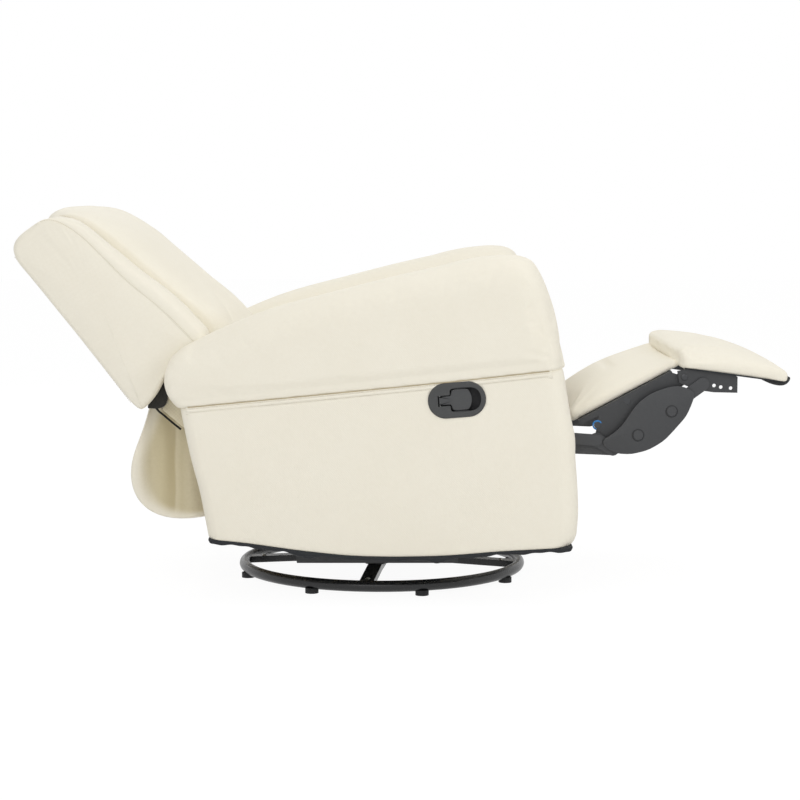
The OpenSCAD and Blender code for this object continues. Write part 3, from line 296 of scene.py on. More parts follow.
# Threads wander a little, so the weave is never a perfect grid
wander = wired(tree, "TexNoise", {"Scale": 70, "Detail": 2, "Vector": place}).outputs["Color"]
shift = wired(tree, "VectorMath", {0: wander, "Scale": 0.0016}, operation="SCALE")
moved = wired(tree, "VectorMath", {0: place, 1: shift}, operation="ADD")
count = times(tree, given["Threads"], math.pi)
counted = wired(tree, "VectorMath", {0: moved, "Scale": count}, operation="SCALE")
waves = [maths(tree, "SINE", axis) for axis in wired(tree, "SeparateXYZ", {0: counted}).outputs]
squares = wired(tree, "VectorMath", {0: facing, 1: facing}, operation="MULTIPLY")
weight = wired(tree, "SeparateXYZ", {0: squares}).outputs
parts = [times(tree, times(tree, *[waves[i] for i in range(3) if i != side]), weight[side])
         for side in range(3)]
total = plus(tree, plus(tree, parts[0], parts[1]), parts[2])
knots = plus(tree, times(tree, total, 0.5), 0.5)
slubs = speckle(tree, place, 420, 2, 0.6)
cloud = speckle(tree, place, 9, 3, 0.5)
fleck = speckle(tree, place, 180, 4, 0.7)
dip = times(tree, maths(tree, "SUBTRACT", 1, knots), 0.28)
share = plus(tree, dip, plus(tree, times(tree, cloud, 0.3), times(tree, fleck, 0.4)))
wired(tree, "NodeGroupOutput", {
    "Colour": blended(tree, share, given["Colour"], given["Shade"]),
    "Roughness": plus(tree, 0.78, times(tree, slubs, 0.16)),
    "Height": plus(tree, times(tree, knots, 0.6), times(tree, slubs, 0.5))})


def cloth_finish(name, colour, shade, lean=0, threads=620, sheen=0.12, bump=0.5):
    """Woven cloth. Lean turns the weave about Y, in degrees, to lie along a tilted piece."""
    made, tree = material(name)
    where = wired(tree, "TexCoord").outputs
    turn = (0, math.radians(lean), 0)
    place, facing = [wired(tree, "Mapping", {"Rotation": turn, "Vector": where[key]})
                     for key in ("Object", "Normal")]
    weave = wired(tree, "Group", {
        "Place": place, "Facing": facing, "Colour": srgb(*colour), "Shade": srgb(*shade),
        "Threads": threads}, node_tree=weave_group)
    surfaced(tree, *weave.outputs, bump, 0.0005, {
        "Sheen Weight": sheen, "Sheen Roughness": 0.5, "Specular IOR Level": 0.25})
    return made


CREAM = (246, 242, 229)
CREAM_SHADE = (233, 226, 208)
BACK_LEAN = 37.2
cream_cloth = cloth_finish("cream_cloth", CREAM, CREAM_SHADE)
tilted_cloth = cloth_finish("cream_cloth_back", CREAM, CREAM_SHADE, BACK_LEAN)
thread = cloth_finish("seam_thread", (228, 220, 200), (206, 196, 172), 0, 1400, 0.1, 0.3)
# Darker cord along the arm crease: painted shade of the crease
crease_painted_shade = cloth_finish("crease_painted_shade", (200, 186, 154), (178, 162, 126), 0, 1400, 0.1, 0.3)


def flow(rows):
    """A smooth curve through [x, y] rows, as a function of x."""
    xs, ys = np.array(rows, float).T
    slopes = np.gradient(ys, xs)

    def at(x):
        x = np.clip(np.asarray(x, float), xs[0], xs[-1])
        i = np.clip(np.searchsorted(xs, x) - 1, 0, len(xs) - 2)
        h = xs[i + 1] - xs[i]
        t = (x - xs[i]) / h
        return ((2 * t ** 3 - 3 * t ** 2 + 1) * ys[i] + (t ** 3 - 2 * t ** 2 + t) * h * slopes[i]
                + (3 * t ** 2 - 2 * t ** 3) * ys[i + 1] + (t ** 3 - t ** 2) * h * slopes[i + 1])
    return at


def piece(name, points, faces, made, slot=None):
    """A mesh object from points in millimetres, smooth, with its faces turned outwards."""
    data = bpy.data.meshes.new(name)
    data.from_pydata((np.asarray(points, float) / 1000).tolist(), [], faces)
    form = bmesh.new()
    form.from_mesh(data)
    bmesh.ops.remove_doubles(form, verts=form.verts, dist=1e-6)
    bmesh.ops.recalc_face_normals(form, faces=form.faces)
    form.to_mesh(data)
    form.free()
    data.polygons.foreach_set("use_smooth", [True] * len(data.polygons))
    data.materials.append(made)
    obj = added(name, data)
    return obj


def skinned(rings):
    """Points and faces of a skin through rings of points, with its ends closed by fans."""
    rings = np.asarray(rings, float)
    count, around = rings.shape[:2]
    points = rings.reshape(-1, 3).tolist()
    faces = []
    for i in range(count - 1):
        for j in range(around):
            k = (j + 1) % around
            faces.append((i * around + j, i * around + k, (i + 1) * around + k,
                          (i + 1) * around + j))
    for row in (0, count - 1):
        points.append(rings[row].mean(axis=0).tolist())
        for j in range(around):
            faces.append((len(points) - 1, row * around + j, row * around + (j + 1) % around))
    return points, faces


# Side panels: padded boards in cream cloth from the bottom edge to the seam, with rounded
# front corners. The right-hand one has the opening for the latch.
SIDES = ((-1, "r"), (1, "l"))
ARM_X, ARM_L, ARM_Z, ARM_H = -402, 770, 95, 566
ARM_IN, ARM_OUT = 268, 389
seam_rise = flow([
    [0.031, 0.4975], [0.2, 0.5198], [0.45, 0.553], [0.7, 0.5865], [0.936, 0.6215], [1, 0.6303]])
bottom_rise = flow([
    [0.112, 0.057], [0.182, 0.048], [0.327, 0.021], [0.449, 0.004], [0.57, 0], [0.692, 0.005],
    [0.813, 0.018], [0.979, 0.03], [1, 0.032]])
rear_run = flow([[0, 0.104], [0.2, 0.092], [0.33, 0.084], [0.6, 0.062], [0.87, 0.044], [1, 0.036]])
front_run = flow([
    [0, 0.99], [0.04, 1.001], [0.1, 1.005], [0.35, 1.004], [0.5, 0.999], [0.6, 0.998],
    [0.7, 0.989], [1, 0.967]])


def seam_z(x):
    """Height of the seam between side panel and arm roll."""
    return ARM_Z + ARM_H * seam_rise((np.asarray(x) - ARM_X) / ARM_L)


def bottom_z(x):
    """Height of the side panel's lower edge."""
    return ARM_Z + ARM_H * bottom_rise((np.asarray(x) - ARM_X) / ARM_L)


def round_box(x0, x1, y0, y1, a, b, turns=8, runs=48, rows=8):
    """A box outline with corner radii a at its low x and b at its high x."""
    turn = np.linspace(0, np.pi / 2, turns + 1)[:-1]
    run = np.linspace(0, 1, runs + 1)[:-1]
    wide = np.linspace(0, 1, rows + 1)[:-1]
    c, s, long = np.cos(turn), np.sin(turn), x1 - b - x0 - a
    xs = [x0 + a + long * run, x1 - b + b * s, x1 + 0 * wide, x1 - b + b * c,
          x1 - b - long * run, x0 + a - a * s, x0 + 0 * wide, x0 + a - a * c]
    ys = [y0 + 0 * run, y0 + b - b * c, y0 + b + (y1 - y0 - 2 * b) * wide, y1 - b + b * s,
          y1 + 0 * run, y1 - a + a * c, y1 - a - (y1 - y0 - 2 * a) * wide, y0 + a - a * s]
    return np.stack([np.concatenate(xs), np.concatenate(ys)], 1)


def plan_loop(x0, x1, y0, y1, rear_r, front_r, inset):
    """A box seen from above and drawn in by an inset, with radii behind and in front."""
    return round_box(x0 + inset, x1 - inset, y0 + inset, y1 - inset,
                     max(rear_r - inset, 3), max(front_r - inset, 3))


WAVES = 9


def ripple(points, size, length, seed):
    """Slow unevenness of stuffed cloth: small moves from waves in seeded directions."""
    draw = np.random.default_rng(seed)
    points = np.asarray(points, float)
    total = np.zeros(len(points))
    for _ in range(WAVES):
        way = draw.normal(size=3)
        way /= np.linalg.norm(way)
        long = length * draw.uniform(0.5, 1.6)
        total += np.sin(points @ way * 2 * np.pi / long + draw.uniform(0, 6.28)) * long / length
    return total / WAVES * size * 2


LATCH_X, LATCH_Z, LATCH_L, LATCH_H, LATCH_TILT = 143, 391, 108, 66, 4.5


def full_turn(count):
    """Evenly spaced angles round a circle."""
    return np.linspace(0, 2 * np.pi, count, endpoint=False)


def latch_outline(grow, count=64):
    """The latch's rounded outline, about its middle."""
    r, run = LATCH_H / 2 + grow, (LATCH_L - LATCH_H) / 2
    a = full_turn(count) + 1e-3
    return np.stack([r * np.cos(a) + run * np.sign(np.cos(a)), r * np.sin(a)], 1)


def upright(outline, y):
    """Points of an outline in side view, at a distance across."""
    return np.column_stack([outline[:, 0], np.full(len(outline), y), outline[:, 1]])


def tilted(points, at, degrees, way=1):
    """Points drawn level, turned about their origin in side view and put in place."""
    t = math.radians(degrees)
    x, y, z = np.asarray(points, float).reshape(-1, 3).T
    return np.stack([at[0] + x * math.cos(t) - way * z * math.sin(t), y,
                     at[1] + way * x * math.sin(t) + z * math.cos(t)], 1)


def on_latch(outline, y):
    """Points of an outline drawn from the latch's middle, at a distance across."""
    return tilted(upright(outline, y), (LATCH_X, LATCH_Z), LATCH_TILT)


def applied(obj):
    """Keeps the mesh that an object's modifiers make, and drops the modifiers."""
    dg = bpy.context.evaluated_depsgraph_get()
    result = bpy.data.meshes.new_from_object(obj.evaluated_get(dg))
    obj.modifiers.clear()
    obj.data = result
    return result


def cut_out(obj, plug):
    """Takes the shape of a plug out of an object."""
    cut = obj.modifiers.new("cut", "BOOLEAN")
    cut.operation, cut.solver, cut.object = "DIFFERENCE", "EXACT", plug
    applied(obj)
    bpy.data.objects.remove(plug)


def outer_share(y):
    """1 at an arm's outer face, falling to 0 over 40 mm inwards."""
    return np.clip((np.abs(y) - 340) / 40, 0, 1)


PANEL_LEVELS = [(0, 3.4), (0.003, 2), (0.008, 0.9), (0.016, 0.2), (0.03, 0)] + [
    (v, 0) for v in np.linspace(0.06, 0.95, 26)] + [(0.976, 0.2), (0.987, 0.9), (0.995, 2), (1, 4)]
PANEL_REAR_R, PANEL_FRONT_R, PANEL_PUFF = 22, 40, 2.4
for side, tag in SIDES:
    rings = []
    for v, inset in PANEL_LEVELS:
        x, y = plan_loop(ARM_X + ARM_L * rear_run(v), ARM_X + ARM_L * front_run(v), ARM_IN,
                         ARM_OUT, PANEL_REAR_R, PANEL_FRONT_R, inset).T
        low, high = bottom_z(x), seam_z(x) - 0.3
        puff = PANEL_PUFF * np.sin(np.pi * v) ** 0.5 * outer_share(y)
        rings.append(np.stack([x, side * (y + puff), low + (high - low) * v], 1))
    points, faces = skinned(rings)
    points = np.array(points)
    points[:, 1] += side * outer_share(points[:, 1]) * ripple(points, 0.7, 240, 5)
    cover = piece("side_cover_" + tag, points, faces, cream_cloth, "cream_fabric")
    if side < 0:
        # The hole that the latch's cup drops into
        plug = skinned([on_latch(latch_outline(-3.7), y) for y in (-355, -420)])
        cut_out(cover, piece("latch_hole", *plug, cream_cloth))
    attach(cover, "chassis")
    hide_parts("side_panel_" + tag)

# Arm pads: long rolls of foam and fibre in the same cloth, sewn to the side covers along a
# straight seam that climbs to the front.
ROLL_OUT, ROLL_IN, ROLL_FOOT_R, ROLL_BELLY = 395, 272, 5, 2.5
FRONT_TURN, REAR_TURN, CREST_TURN = 38, 13, 44
crest_rise = flow([
    [0, 0.585], [0.004, 0.622], [0.012, 0.65], [0.031, 0.677], [0.075, 0.708], [0.212, 0.795],
    [0.465, 0.898], [0.669, 0.963], [0.79, 0.994], [0.84, 0.998], [0.878, 0.989], [0.895, 0.975],
    [0.909, 0.945], [0.925, 0.893], [0.936, 0.843], [0.945, 0.795], [0.952, 0.749], [0.958, 0.703],
    [0.966, 0.657], [0.972, 0.636]])
nose_run = flow([
    [0.6, 0.968], [0.657, 0.96], [0.703, 0.953], [0.749, 0.949], [0.795, 0.942], [0.841, 0.934],
    [0.887, 0.924], [0.933, 0.909], [0.966, 0.895], [0.985, 0.878], [0.998, 0.84], [1.05, 0.8]])
tail_run = flow([
    [0.4975, 0.031], [0.54, 0.009], [0.583, 0], [0.622, 0.004], [0.65, 0.012], [0.677, 0.031],
    [0.708, 0.075], [1.05, 0.5]])
tail_drop = flow([[0, 0.583], [0.009, 0.54], [0.031, 0.4975]])


def roll_section(low, high):
    """The roll cut across: y and z of a rounded crest, a soft foot and slightly full faces."""
    top_r = min(CREST_TURN, (high - low) * 0.55, (ROLL_OUT - ROLL_IN) / 2)
    foot_r = min(ROLL_FOOT_R, (high - low) * 0.3)
    z, y = round_box(low, high, -ROLL_OUT, -ROLL_IN, foot_r, top_r, 10, 14, 10).T
    y = -y
    level = (z - low) / (high - low)
    return y + np.sign(y - ROLL_MIDDLE) * ROLL_BELLY * (np.sin(np.pi * level) - 0.4), z


def turned_in(gap_to_end, radius):
    """How far a rounded end stands in from the side, at a distance from its tip."""
    back = np.clip(radius - np.maximum(gap_to_end, 0), 0, radius)
    return radius - np.sqrt(radius ** 2 - back ** 2)


def vectors(rows, key):
    """One vector for each row of a mesh's vertices or normals."""
    flat = np.zeros(len(rows) * 3)
    rows.foreach_get(key, flat)
    return flat.reshape(-1, 3)


FILL_PRESSURE, FILL_FRAMES = 4, 20


def stuffed(obj, voxel, slack, cap, pinned, share):
    """Fills a cloth cover: starts a little small, swells under pressure and is then fixed.
    Voxel, slack and cap are in millimetres; pinned says which points stay."""
    cover = obj.data
    at, facing = vectors(cover.vertices, "co"), vectors(cover.vertex_normals, "vector")
    loose = ~pinned(at * 1000)
    at[loose] -= facing[loose] * slack / 1000
    cover.vertices.foreach_set("co", at.ravel())
    cover.update()
    remesh = obj.modifiers.new("remesh", "REMESH")
    remesh.mode, remesh.voxel_size, remesh.use_smooth_shade = "VOXEL", voxel / 1000, True
    grid = applied(obj)
    start = vectors(grid.vertices, "co")
    held = obj.vertex_groups.new(name="held")
    held.add([int(i) for i in np.nonzero(pinned(start * 1000))[0]], 1.0, "REPLACE")
    cloth = obj.modifiers.new("filling", "CLOTH")
    cloth.settings.use_pressure = True
    cloth.settings.uniform_pressure_force = FILL_PRESSURE
    cloth.settings.vertex_group_mass = "held"
    cloth.settings.effector_weights.gravity = 0
    cloth.settings.quality = 5
    cloth.point_cache.frame_start, cloth.point_cache.frame_end = 1, FILL_FRAMES
    for step in range(1, FILL_FRAMES + 1):
        scene.frame_set(step)
    swollen = obj.evaluated_get(bpy.context.evaluated_depsgraph_get())
    move = vectors(swollen.to_mesh().vertices, "co") - start
    swollen.to_mesh_clear()
    long = np.linalg.norm(move, axis=1, keepdims=True)
    move *= np.minimum(1, cap / 1000 / np.maximum(long, 1e-9)) * share
    obj.modifiers.clear()
    scene.frame_set(1)
    grid.vertices.foreach_set("co", (start + move).ravel())
    grid.update()
    obj.vertex_groups.clear()
    finer = obj.modifiers.new("finer", "SUBSURF")
    finer.levels = finer.render_levels = 1


def at_x(x, y, z):
    """Points of a section that lies across the recliner at x."""
    return np.column_stack([np.full(len(y), x), y, z])


ROLL_MIDDLE, ROLL_HALF = (ROLL_IN + ROLL_OUT) / 2, (ROLL_OUT - ROLL_IN) / 2
stations = np.linspace(0.0015, 0.9715, 1500)
crest = crest_rise(stations)
steps = np.hypot(np.diff(stations) * ARM_L, np.diff(crest) * ARM_H)
walked = np.concatenate([[0], np.cumsum(steps)])
stations = np.interp(np.linspace(0, walked[-1], 150), walked, stations)
for side, tag in SIDES:
    rings = []
    for s in stations:
        x = ARM_X + ARM_L * s
        low = (ARM_Z + ARM_H * tail_drop(s) if s < 0.031 else float(seam_z(x))) - 2.5
        y, z = roll_section(low, max(ARM_Z + ARM_H * crest_rise(s), low + 3))
        level = (z - ARM_Z) / ARM_H
        inward = (turned_in(ARM_X + ARM_L * nose_run(level) - x, FRONT_TURN)
                  + turned_in(x - ARM_X - ARM_L * tail_run(level), REAR_TURN))
        shrink = 1 - np.minimum(inward, ROLL_HALF * 0.9) / ROLL_HALF
        rings.append(at_x(x, side * (ROLL_MIDDLE + (y - ROLL_MIDDLE) * shrink), z))
    roll = piece("arm_roll_" + tag, *skinned(rings), cream_cloth, "cream_fabric")
    stuffed(roll, 5, -1.5, 7, lambda p: p[:, 2] < seam_z(p[:, 0]) + 16, share=0.6)
    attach(roll, "chassis")
    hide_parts("arm_pad_" + tag)

# Seam band: the cloth below the rolls is folded flat and sewn down with two rows of thread,
# from the rear end of each arm to just behind its rounded front. A thin darker cord lies in
# the crease under the roll: its colour is painted shade of the crease.
BAND = [
    (0.8, -3), (1.2, 0.3), (2.4, 1.7), (4.1, 1.6), (5.2, 0.1), (6.3, 1.7), (8.6, 2.6), (10.9, 1.9),
    (12.0, 0.1), (13.0, 1.3), (14.6, -0.2), (15.4, -3)]
BAND_X0, BAND_X1 = -362, 319
THREAD_DROPS, CREASE_R = (5.2, 12.0), 0.8
stitch_tree, given = new_group("stitch_row", "GeometryNodeTree", [
    ("Geometry", "Geometry"), ("Pitch", "Float", 0.0042), ("Length", "Float", 0.0033),
    ("Thickness", "Float", 0.0009), ("Thread", "Material")], [("Geometry", "Geometry")])
tree = stitch_tree
line = wired(tree, "GeometryNodeMeshToCurve", {"Mesh": given["Geometry"]})
spaced = wired(tree, "GeometryNodeResampleCurve", {"Curve": line, "Length": given["Pitch"]},
               mode="LENGTH")
bead = wired(tree, "GeometryNodeMeshUVSphere", {"Segments": 6, "Rings": 5, "Radius": 0.5})
tangent = wired(tree, "GeometryNodeInputTangent")
along = wired(tree, "FunctionNodeAlignRotationToVector", {"Vector": tangent}, axis="X")
stretch = wired(tree, "CombineXYZ", {"X": given["Length"], "Y": given["Thickness"],
                                     "Z": given["Thickness"]})
placed = wired(tree, "GeometryNodeInstanceOnPoints", {
    "Points": spaced, "Instance": bead, "Rotation": along, "Scale": stretch})
real = wired(tree, "GeometryNodeRealizeInstances", {"Geometry": placed})
dyed = wired(tree, "GeometryNodeSetMaterial", {"Geometry": real, "Material": given["Thread"]})
wired(tree, "NodeGroupOutput", {"Geometry": dyed})


def stitched(name, lines, body, pitch=4.2):
    """Rows of thread along lines of points in millimetres, kept as a mesh riding on a body."""
    points, edges = [], []
    for row in lines:
        edges += [(len(points) + i, len(points) + i + 1) for i in range(len(row) - 1)]
        points += (np.asarray(row, float) / 1000).tolist()
    data = bpy.data.meshes.new(name)
    data.from_pydata(points, edges, [])
    row = added(name, data)
    run = row.modifiers.new("run", "NODES")
    run.node_group = stitch_tree
    values = {"Pitch": pitch / 1000, "Length": pitch * 0.78 / 1000, "Thickness": 0.001,
              "Thread": thread}
    for item in stitch_tree.interface.items_tree:
        if item.in_out == "INPUT" and item.name in values:
            run[item.identifier] = values[item.name]
    result = applied(row)
    result.polygons.foreach_set("use_smooth", [True] * len(result.polygons))
    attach(row, body)


for side, tag in SIDES:
    xs = np.linspace(BAND_X0, BAND_X1, 160)
    rise = np.gradient(seam_z(xs), xs)
    lean = 1 / np.sqrt(1 + rise ** 2)
    rings = []
    for x, k, c in zip(xs, rise, lean):
        wave = 0.35 * math.sin(x * 0.21) + 0.25 * math.sin(x * 0.083 + 1)
        ends = max(min(1, (x - BAND_X0) / 8, (BAND_X1 - x) / 14), 0.15)
        rings.append([[x + down * k * c,
                       side * (ARM_OUT + 0.6 + (out + 0.2 * wave if out > 0 else out) * ends),
                       seam_z(x) - down * c] for down, out in BAND])
    band = piece("seam_band_" + tag, *skinned(rings), cream_cloth, "cream_fabric")
    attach(band, "chassis")
    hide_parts("arm_welt_" + tag)
    lines = [[[x + d * k * c, side * (ARM_OUT + 0.9), seam_z(x) - d * c]
              for x, k, c in zip(xs[2:-2], rise[2:-2], lean[2:-2])] for d in THREAD_DROPS]
    stitched("seam_thread_" + tag, lines, "chassis")
    a = full_turn(8)
    rings = [at_x(x, side * (ARM_OUT + 2.5) + CREASE_R * np.cos(a),
                  seam_z(x) - 2.0 + CREASE_R * np.sin(a)) for x in xs[1:-1]]
    cord = piece("seam_crease_" + tag, *skinned(rings), crease_painted_shade, "cream_fabric")
    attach(cord, "chassis")

# Bottom trim: the dark grey dust cover under the seat, folded round the lower edge of each
# arm and stapled, so that a thick uneven band of it shows all along.
trim_cloth = cloth_finish("edge_trim", (56, 58, 61), (34, 35, 37), 0, 420, 0.05, 1.0)


def squarish(wave, power):
    """A sine or cosine with its turns made fuller, its sign kept."""
    return np.sign(wave) * np.abs(wave) ** power


def joined(skins):
    """The points and faces of several skins as one."""
    points, faces = [], []
    for more, sides in skins:
        faces += [[i + len(points) for i in face] for face in sides]
        points += list(more)
    return points, faces


TRIM_X0, TRIM_X1, TRIM_Y, TRIM_HALF = -322, 361, 356, 32
trims = []
for side, tag in SIDES:
    rings = []
    for x in np.linspace(TRIM_X0, TRIM_X1, 230):
        hang = 10 + 1.2 * math.sin(x / 13) + 0.8 * math.sin(x / 5.3 + 1)
        hang += 6 * math.exp(-((x + 139) / 20) ** 2) + 6 * math.exp(-((x - 111) / 18) ** 2)
        end = min(1, (x - (TRIM_X0 - 0.5)) / 7, (TRIM_X1 + 0.5 - x) / 7)
        end = math.sqrt(max(0.02, 1 - (1 - end) ** 2))
        a = full_turn(20)
        y = TRIM_Y + TRIM_HALF * squarish(np.cos(a), 0.35) * (0.8 + 0.2 * end)
        middle = float(bottom_z(x)) + 1.5 - hang / 2 * end
        rings.append(at_x(x, side * y, middle + hang / 2 * end * squarish(np.sin(a), 0.5)))
    trims.append(skinned(rings))
trim = piece("dust_cover_hem", *joined(trims), trim_cloth)
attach(trim, "chassis")
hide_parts("bottom_trim")

# Back: a wooden frame wrapped in padded cloth, with a flat rear and full side faces, its seams
# turned inwards. It is bolted to the steel brackets that tilt it.
BACK_PLACE, BACK_HALF = (-445, 369), 338
SIDE_FACE = [
    (-3, 0), (16, 2), (44, 11), (68, 25), (100, 36), (130, 39), (148, 38), (152, 46), (149, 78),
    (142, 125), (132, 170), (123, 214), (117, 250), (113, 280), (109, 308), (104, 330), (98, 352),
    (91, 368), (84, 380), (76, 391), (62, 397), (30, 399), (9, 398), (-5, 393), (-15, 383),
    (-21, 363), (-19, 333), (-17, 290), (-16, 240), (-15, 190), (-15, 130), (-14, 74), (-13, 22),
    (-9, 5)]


def on_back(points):
    """World places, in millimetres, of points given as depth, side and height of the back."""
    return tilted(points, BACK_PLACE, BACK_LEAN)


def cut_soft(outline, rounds=3):
    """A closed outline with its corners cut round."""
    outline = np.asarray(outline, float)
    for _ in range(rounds):
        after = np.roll(outline, -1, axis=0)
        outline = np.stack([outline * 0.75 + after * 0.25, outline * 0.25 + after * 0.75],
                           1).reshape(-1, 2)
    return outline


def round_steps(outline):
    """Steps from the point before to the point after, round a closed outline."""
    return np.roll(outline, -1, axis=0) - np.roll(outline, 1, axis=0)


def to_the_right(step):
    """Unit vectors at right angles to the steps of a line."""
    long = np.maximum(np.linalg.norm(step, axis=1, keepdims=True), 1e-9)
    return np.stack([step[:, 1], -step[:, 0]], 1) / long


BACK_EDGE_R = 11
side_face = cut_soft(SIDE_FACE)
outwards = to_the_right(round_steps(side_face))
centre = side_face.mean(axis=0)
outwards *= np.sign(((side_face - centre) * outwards).sum())
near_front = np.clip((side_face[:, 0] - 40) / 40, 0, 1)[:, None]
drawn_in = side_face - outwards * BACK_EDGE_R * (1 - 0.75 * near_front)
half = []
for share in (0.05, 0.2, 0.38, 0.56, 0.72, 0.84, 0.92, 0.97):
    half.append(upright(centre + (drawn_in - centre) * share, BACK_HALF + 5 * (1 - share ** 3)))
for a in np.linspace(0, np.pi / 2, 7):
    inset = BACK_EDGE_R * (1 - math.sin(a)) * (1 - 0.75 * near_front)
    level = BACK_HALF - BACK_EDGE_R * (1 - math.cos(a)) * (1 - 0.6 * near_front[:, 0])
    half.append(upright(side_face - outwards * inset, level))
rings = np.array([ring * [1, -1, 1] for ring in half]
                 + [upright(side_face, y) for y in np.linspace(-320, 320, 41)] + half[::-1])
flat = rings.reshape(-1, 3)
flat[:, 1] += np.sign(flat[:, 1]) * (np.abs(flat[:, 1]) > 330) * ripple(flat, 1.3, 210, 21)
pucker = np.exp(-((flat[:, 0] - 72) / 26) ** 2 - ((flat[:, 2] - 352) / 34) ** 2)
flat[:, 1] -= (np.sign(flat[:, 1]) * (np.abs(flat[:, 1]) > 330) * pucker * 0.8
               * np.sin((flat[:, 2] * 0.8 + flat[:, 0] * 0.6) * 2 * np.pi / 13))
flat[:, 0] += (flat[:, 0] < 0) * ripple(flat, 1.2, 260, 22)
points, faces = skinned(flat.reshape(rings.shape))
shell = piece("back_cover", on_back(points), faces, tilted_cloth, "back_fabric")
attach(shell, "back")
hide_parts("back_shell")
rear_rows = [[[-16.5 - 3.5 * max(0, (u - 300) / 65) if u > 250 else -15.6, side * 321, u]
              for u in np.linspace(26, 372, 80)] for side in (-1, 1)]
rear_rows += [[[-15.2, y, 58] for y in np.linspace(-316, 316, 150)]]
stitched("back_rear_thread", [on_back(row) for row in rear_rows], "back")

# Bolsters: a soft roll down each front edge of the back, sewn to the side face along one seam
# and tucked under the centre cushion along the other.
ROLL_PATH = flow([
    [0, 154], [0.05, 151.5], [0.27, 141], [0.5, 122], [0.66, 113], [0.79, 105], [0.85, 98],
    [0.9, 91], [0.94, 83], [0.97, 72], [1, 52]])
ROLL_CLIMB = flow([
    [0, 18], [0.05, 50], [0.27, 129], [0.5, 214], [0.66, 280], [0.79, 330], [0.85, 352],
    [0.9, 368], [0.94, 381], [0.97, 390], [1, 397]])
ROLL_HEIGHT = flow([
    [0, 12], [0.03, 23], [0.1, 26], [0.3, 26], [0.5, 23], [0.66, 18], [0.79, 15], [0.85, 14],
    [0.9, 10], [0.94, 6], [0.97, 3], [1, 0.6]])
ROLL_EDGE = 338.5
ts = np.concatenate([np.linspace(0, 0.06, 10)[:-1], np.linspace(0.06, 0.86, 70)[:-1],
                     np.linspace(0.86, 1, 30)])
path = np.stack([ROLL_PATH(ts), ROLL_CLIMB(ts)], 1)
front = to_the_right(np.gradient(path, axis=0))
tuck = path + front * (ROLL_HEIGHT(ts) * 0.55 + 5)[:, None]
a = np.linspace(0, np.pi, 30)
for side, tag in SIDES:
    rings = []
    for t, at, way in zip(ts, path, front):
        high = float(ROLL_HEIGHT(t))
        inner = 262 + 8 * max(0, t - 0.85) / 0.15
        y = (ROLL_EDGE + inner) / 2 + (ROLL_EDGE - inner) / 2 * squarish(np.cos(a), 0.7)
        lift = high * np.sin(a) ** 0.62 + 7 * (1 - np.cos(a)) / 2 * min(1, high / 20) - 0.6
        y, lift = np.append(y, [inner + 2, 300, 333]), np.append(lift, [-16, -18, -14])
        rings.append(np.column_stack([at[0] + lift * way[0], side * y, at[1] + lift * way[1]]))
    rings = np.array(rings)
    flat = rings.reshape(-1, 3)
    flat[:, 0] += ripple(flat, 1.4, 110, 31) * (np.abs(flat[:, 1]) < 336)
    points, faces = skinned(rings)
    roll = piece("back_roll_" + tag, on_back(points), faces, tilted_cloth, "cream_fabric")
    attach(roll, "back")
    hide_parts("back_bolster_" + tag)
    seams = [upright(path, side * (ROLL_EDGE + 0.1))[4:-3], upright(tuck, side * 265)[8:-12]]
    stitched("back_roll_thread_" + tag, [on_back(row) for row in seams], "back",
             3.4)

# Centre cushion of the back: one long pad between the bolsters, rolled over the top edge and
# resting on the seat below; filled with fibre, so it swells between its seams.
CUSHION_REAR = flow([
    [-25, 199], [-12, 165], [2, 128], [33, 135], [51, 147], [156, 133], [214, 123], [274, 114],
    [330, 105], [368, 91], [385, 78], [396, 62], [402, 60], [406, 64]])
CUSHION_FRONT = flow([
    [-25, 211], [-18, 223], [-12, 228], [2, 231], [39, 231], [102, 217], [164, 203], [225, 189],
    [287, 174.5], [313, 165], [337, 155], [358, 144], [376, 129.5], [391, 112], [399, 100],
    [404, 89], [406, 81]])
heights = -24.5 + 430 * (1 - np.cos(np.linspace(0, np.pi, 84))) / 2
around = full_turn(96)
c, s = np.cos(around), np.sin(around)
rings = []
for u in heights:
    rear, full = float(CUSHION_REAR(u)) - 3, float(CUSHION_FRONT(u))
    level = rear + (full - rear) * 0.3
    end = min(1, (u + 25) / 22, (406.5 - u) / 22)
    wide = 260 - (14 if u < 200 else 90) * (1 - math.sqrt(max(0, 1 - (1 - end) ** 2)))
    bulge = np.where(s > 0, (full - level) * np.abs(s) ** 0.62, -(level - rear) * np.abs(s) ** 0.3)
    rings.append(np.column_stack([level + bulge, wide * squarish(c, 0.4), np.full(96, u)]))
points, faces = skinned(rings)
pad = piece("back_pad", on_back(points), faces, tilted_cloth, "cream_fabric")


def untilted(at, origin, degrees, way=1):
    """Depth along a tilted part, and height over it, of places in the world."""
    t = math.radians(degrees)
    x, z = at[:, 0] - origin[0], at[:, 2] - origin[1]
    return x * math.cos(t) + way * z * math.sin(t), z * math.cos(t) - way * x * math.sin(t)


def behind_pad(at):
    """Points of the back pad that lie against the shell or in its seams."""
    depth, height = untilted(at, BACK_PLACE, BACK_LEAN)
    return (depth < CUSHION_REAR(height) + 12) | (np.abs(at[:, 1]) > 256) | (height > 396)


stuffed(pad, 6, 3, 22, behind_pad, share=0.25)
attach(pad, "back")
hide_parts("back_cushion")

# Seat cushion: a boxed pad of foam in the same cloth between the arms, its front edge rounded
# over the wooden frame.
SEAT_X0, SEAT_X1, SEAT_HALF, SEAT_Z, SEAT_T, SEAT_CROWN = -235, 328, 255, 388, 70, 20


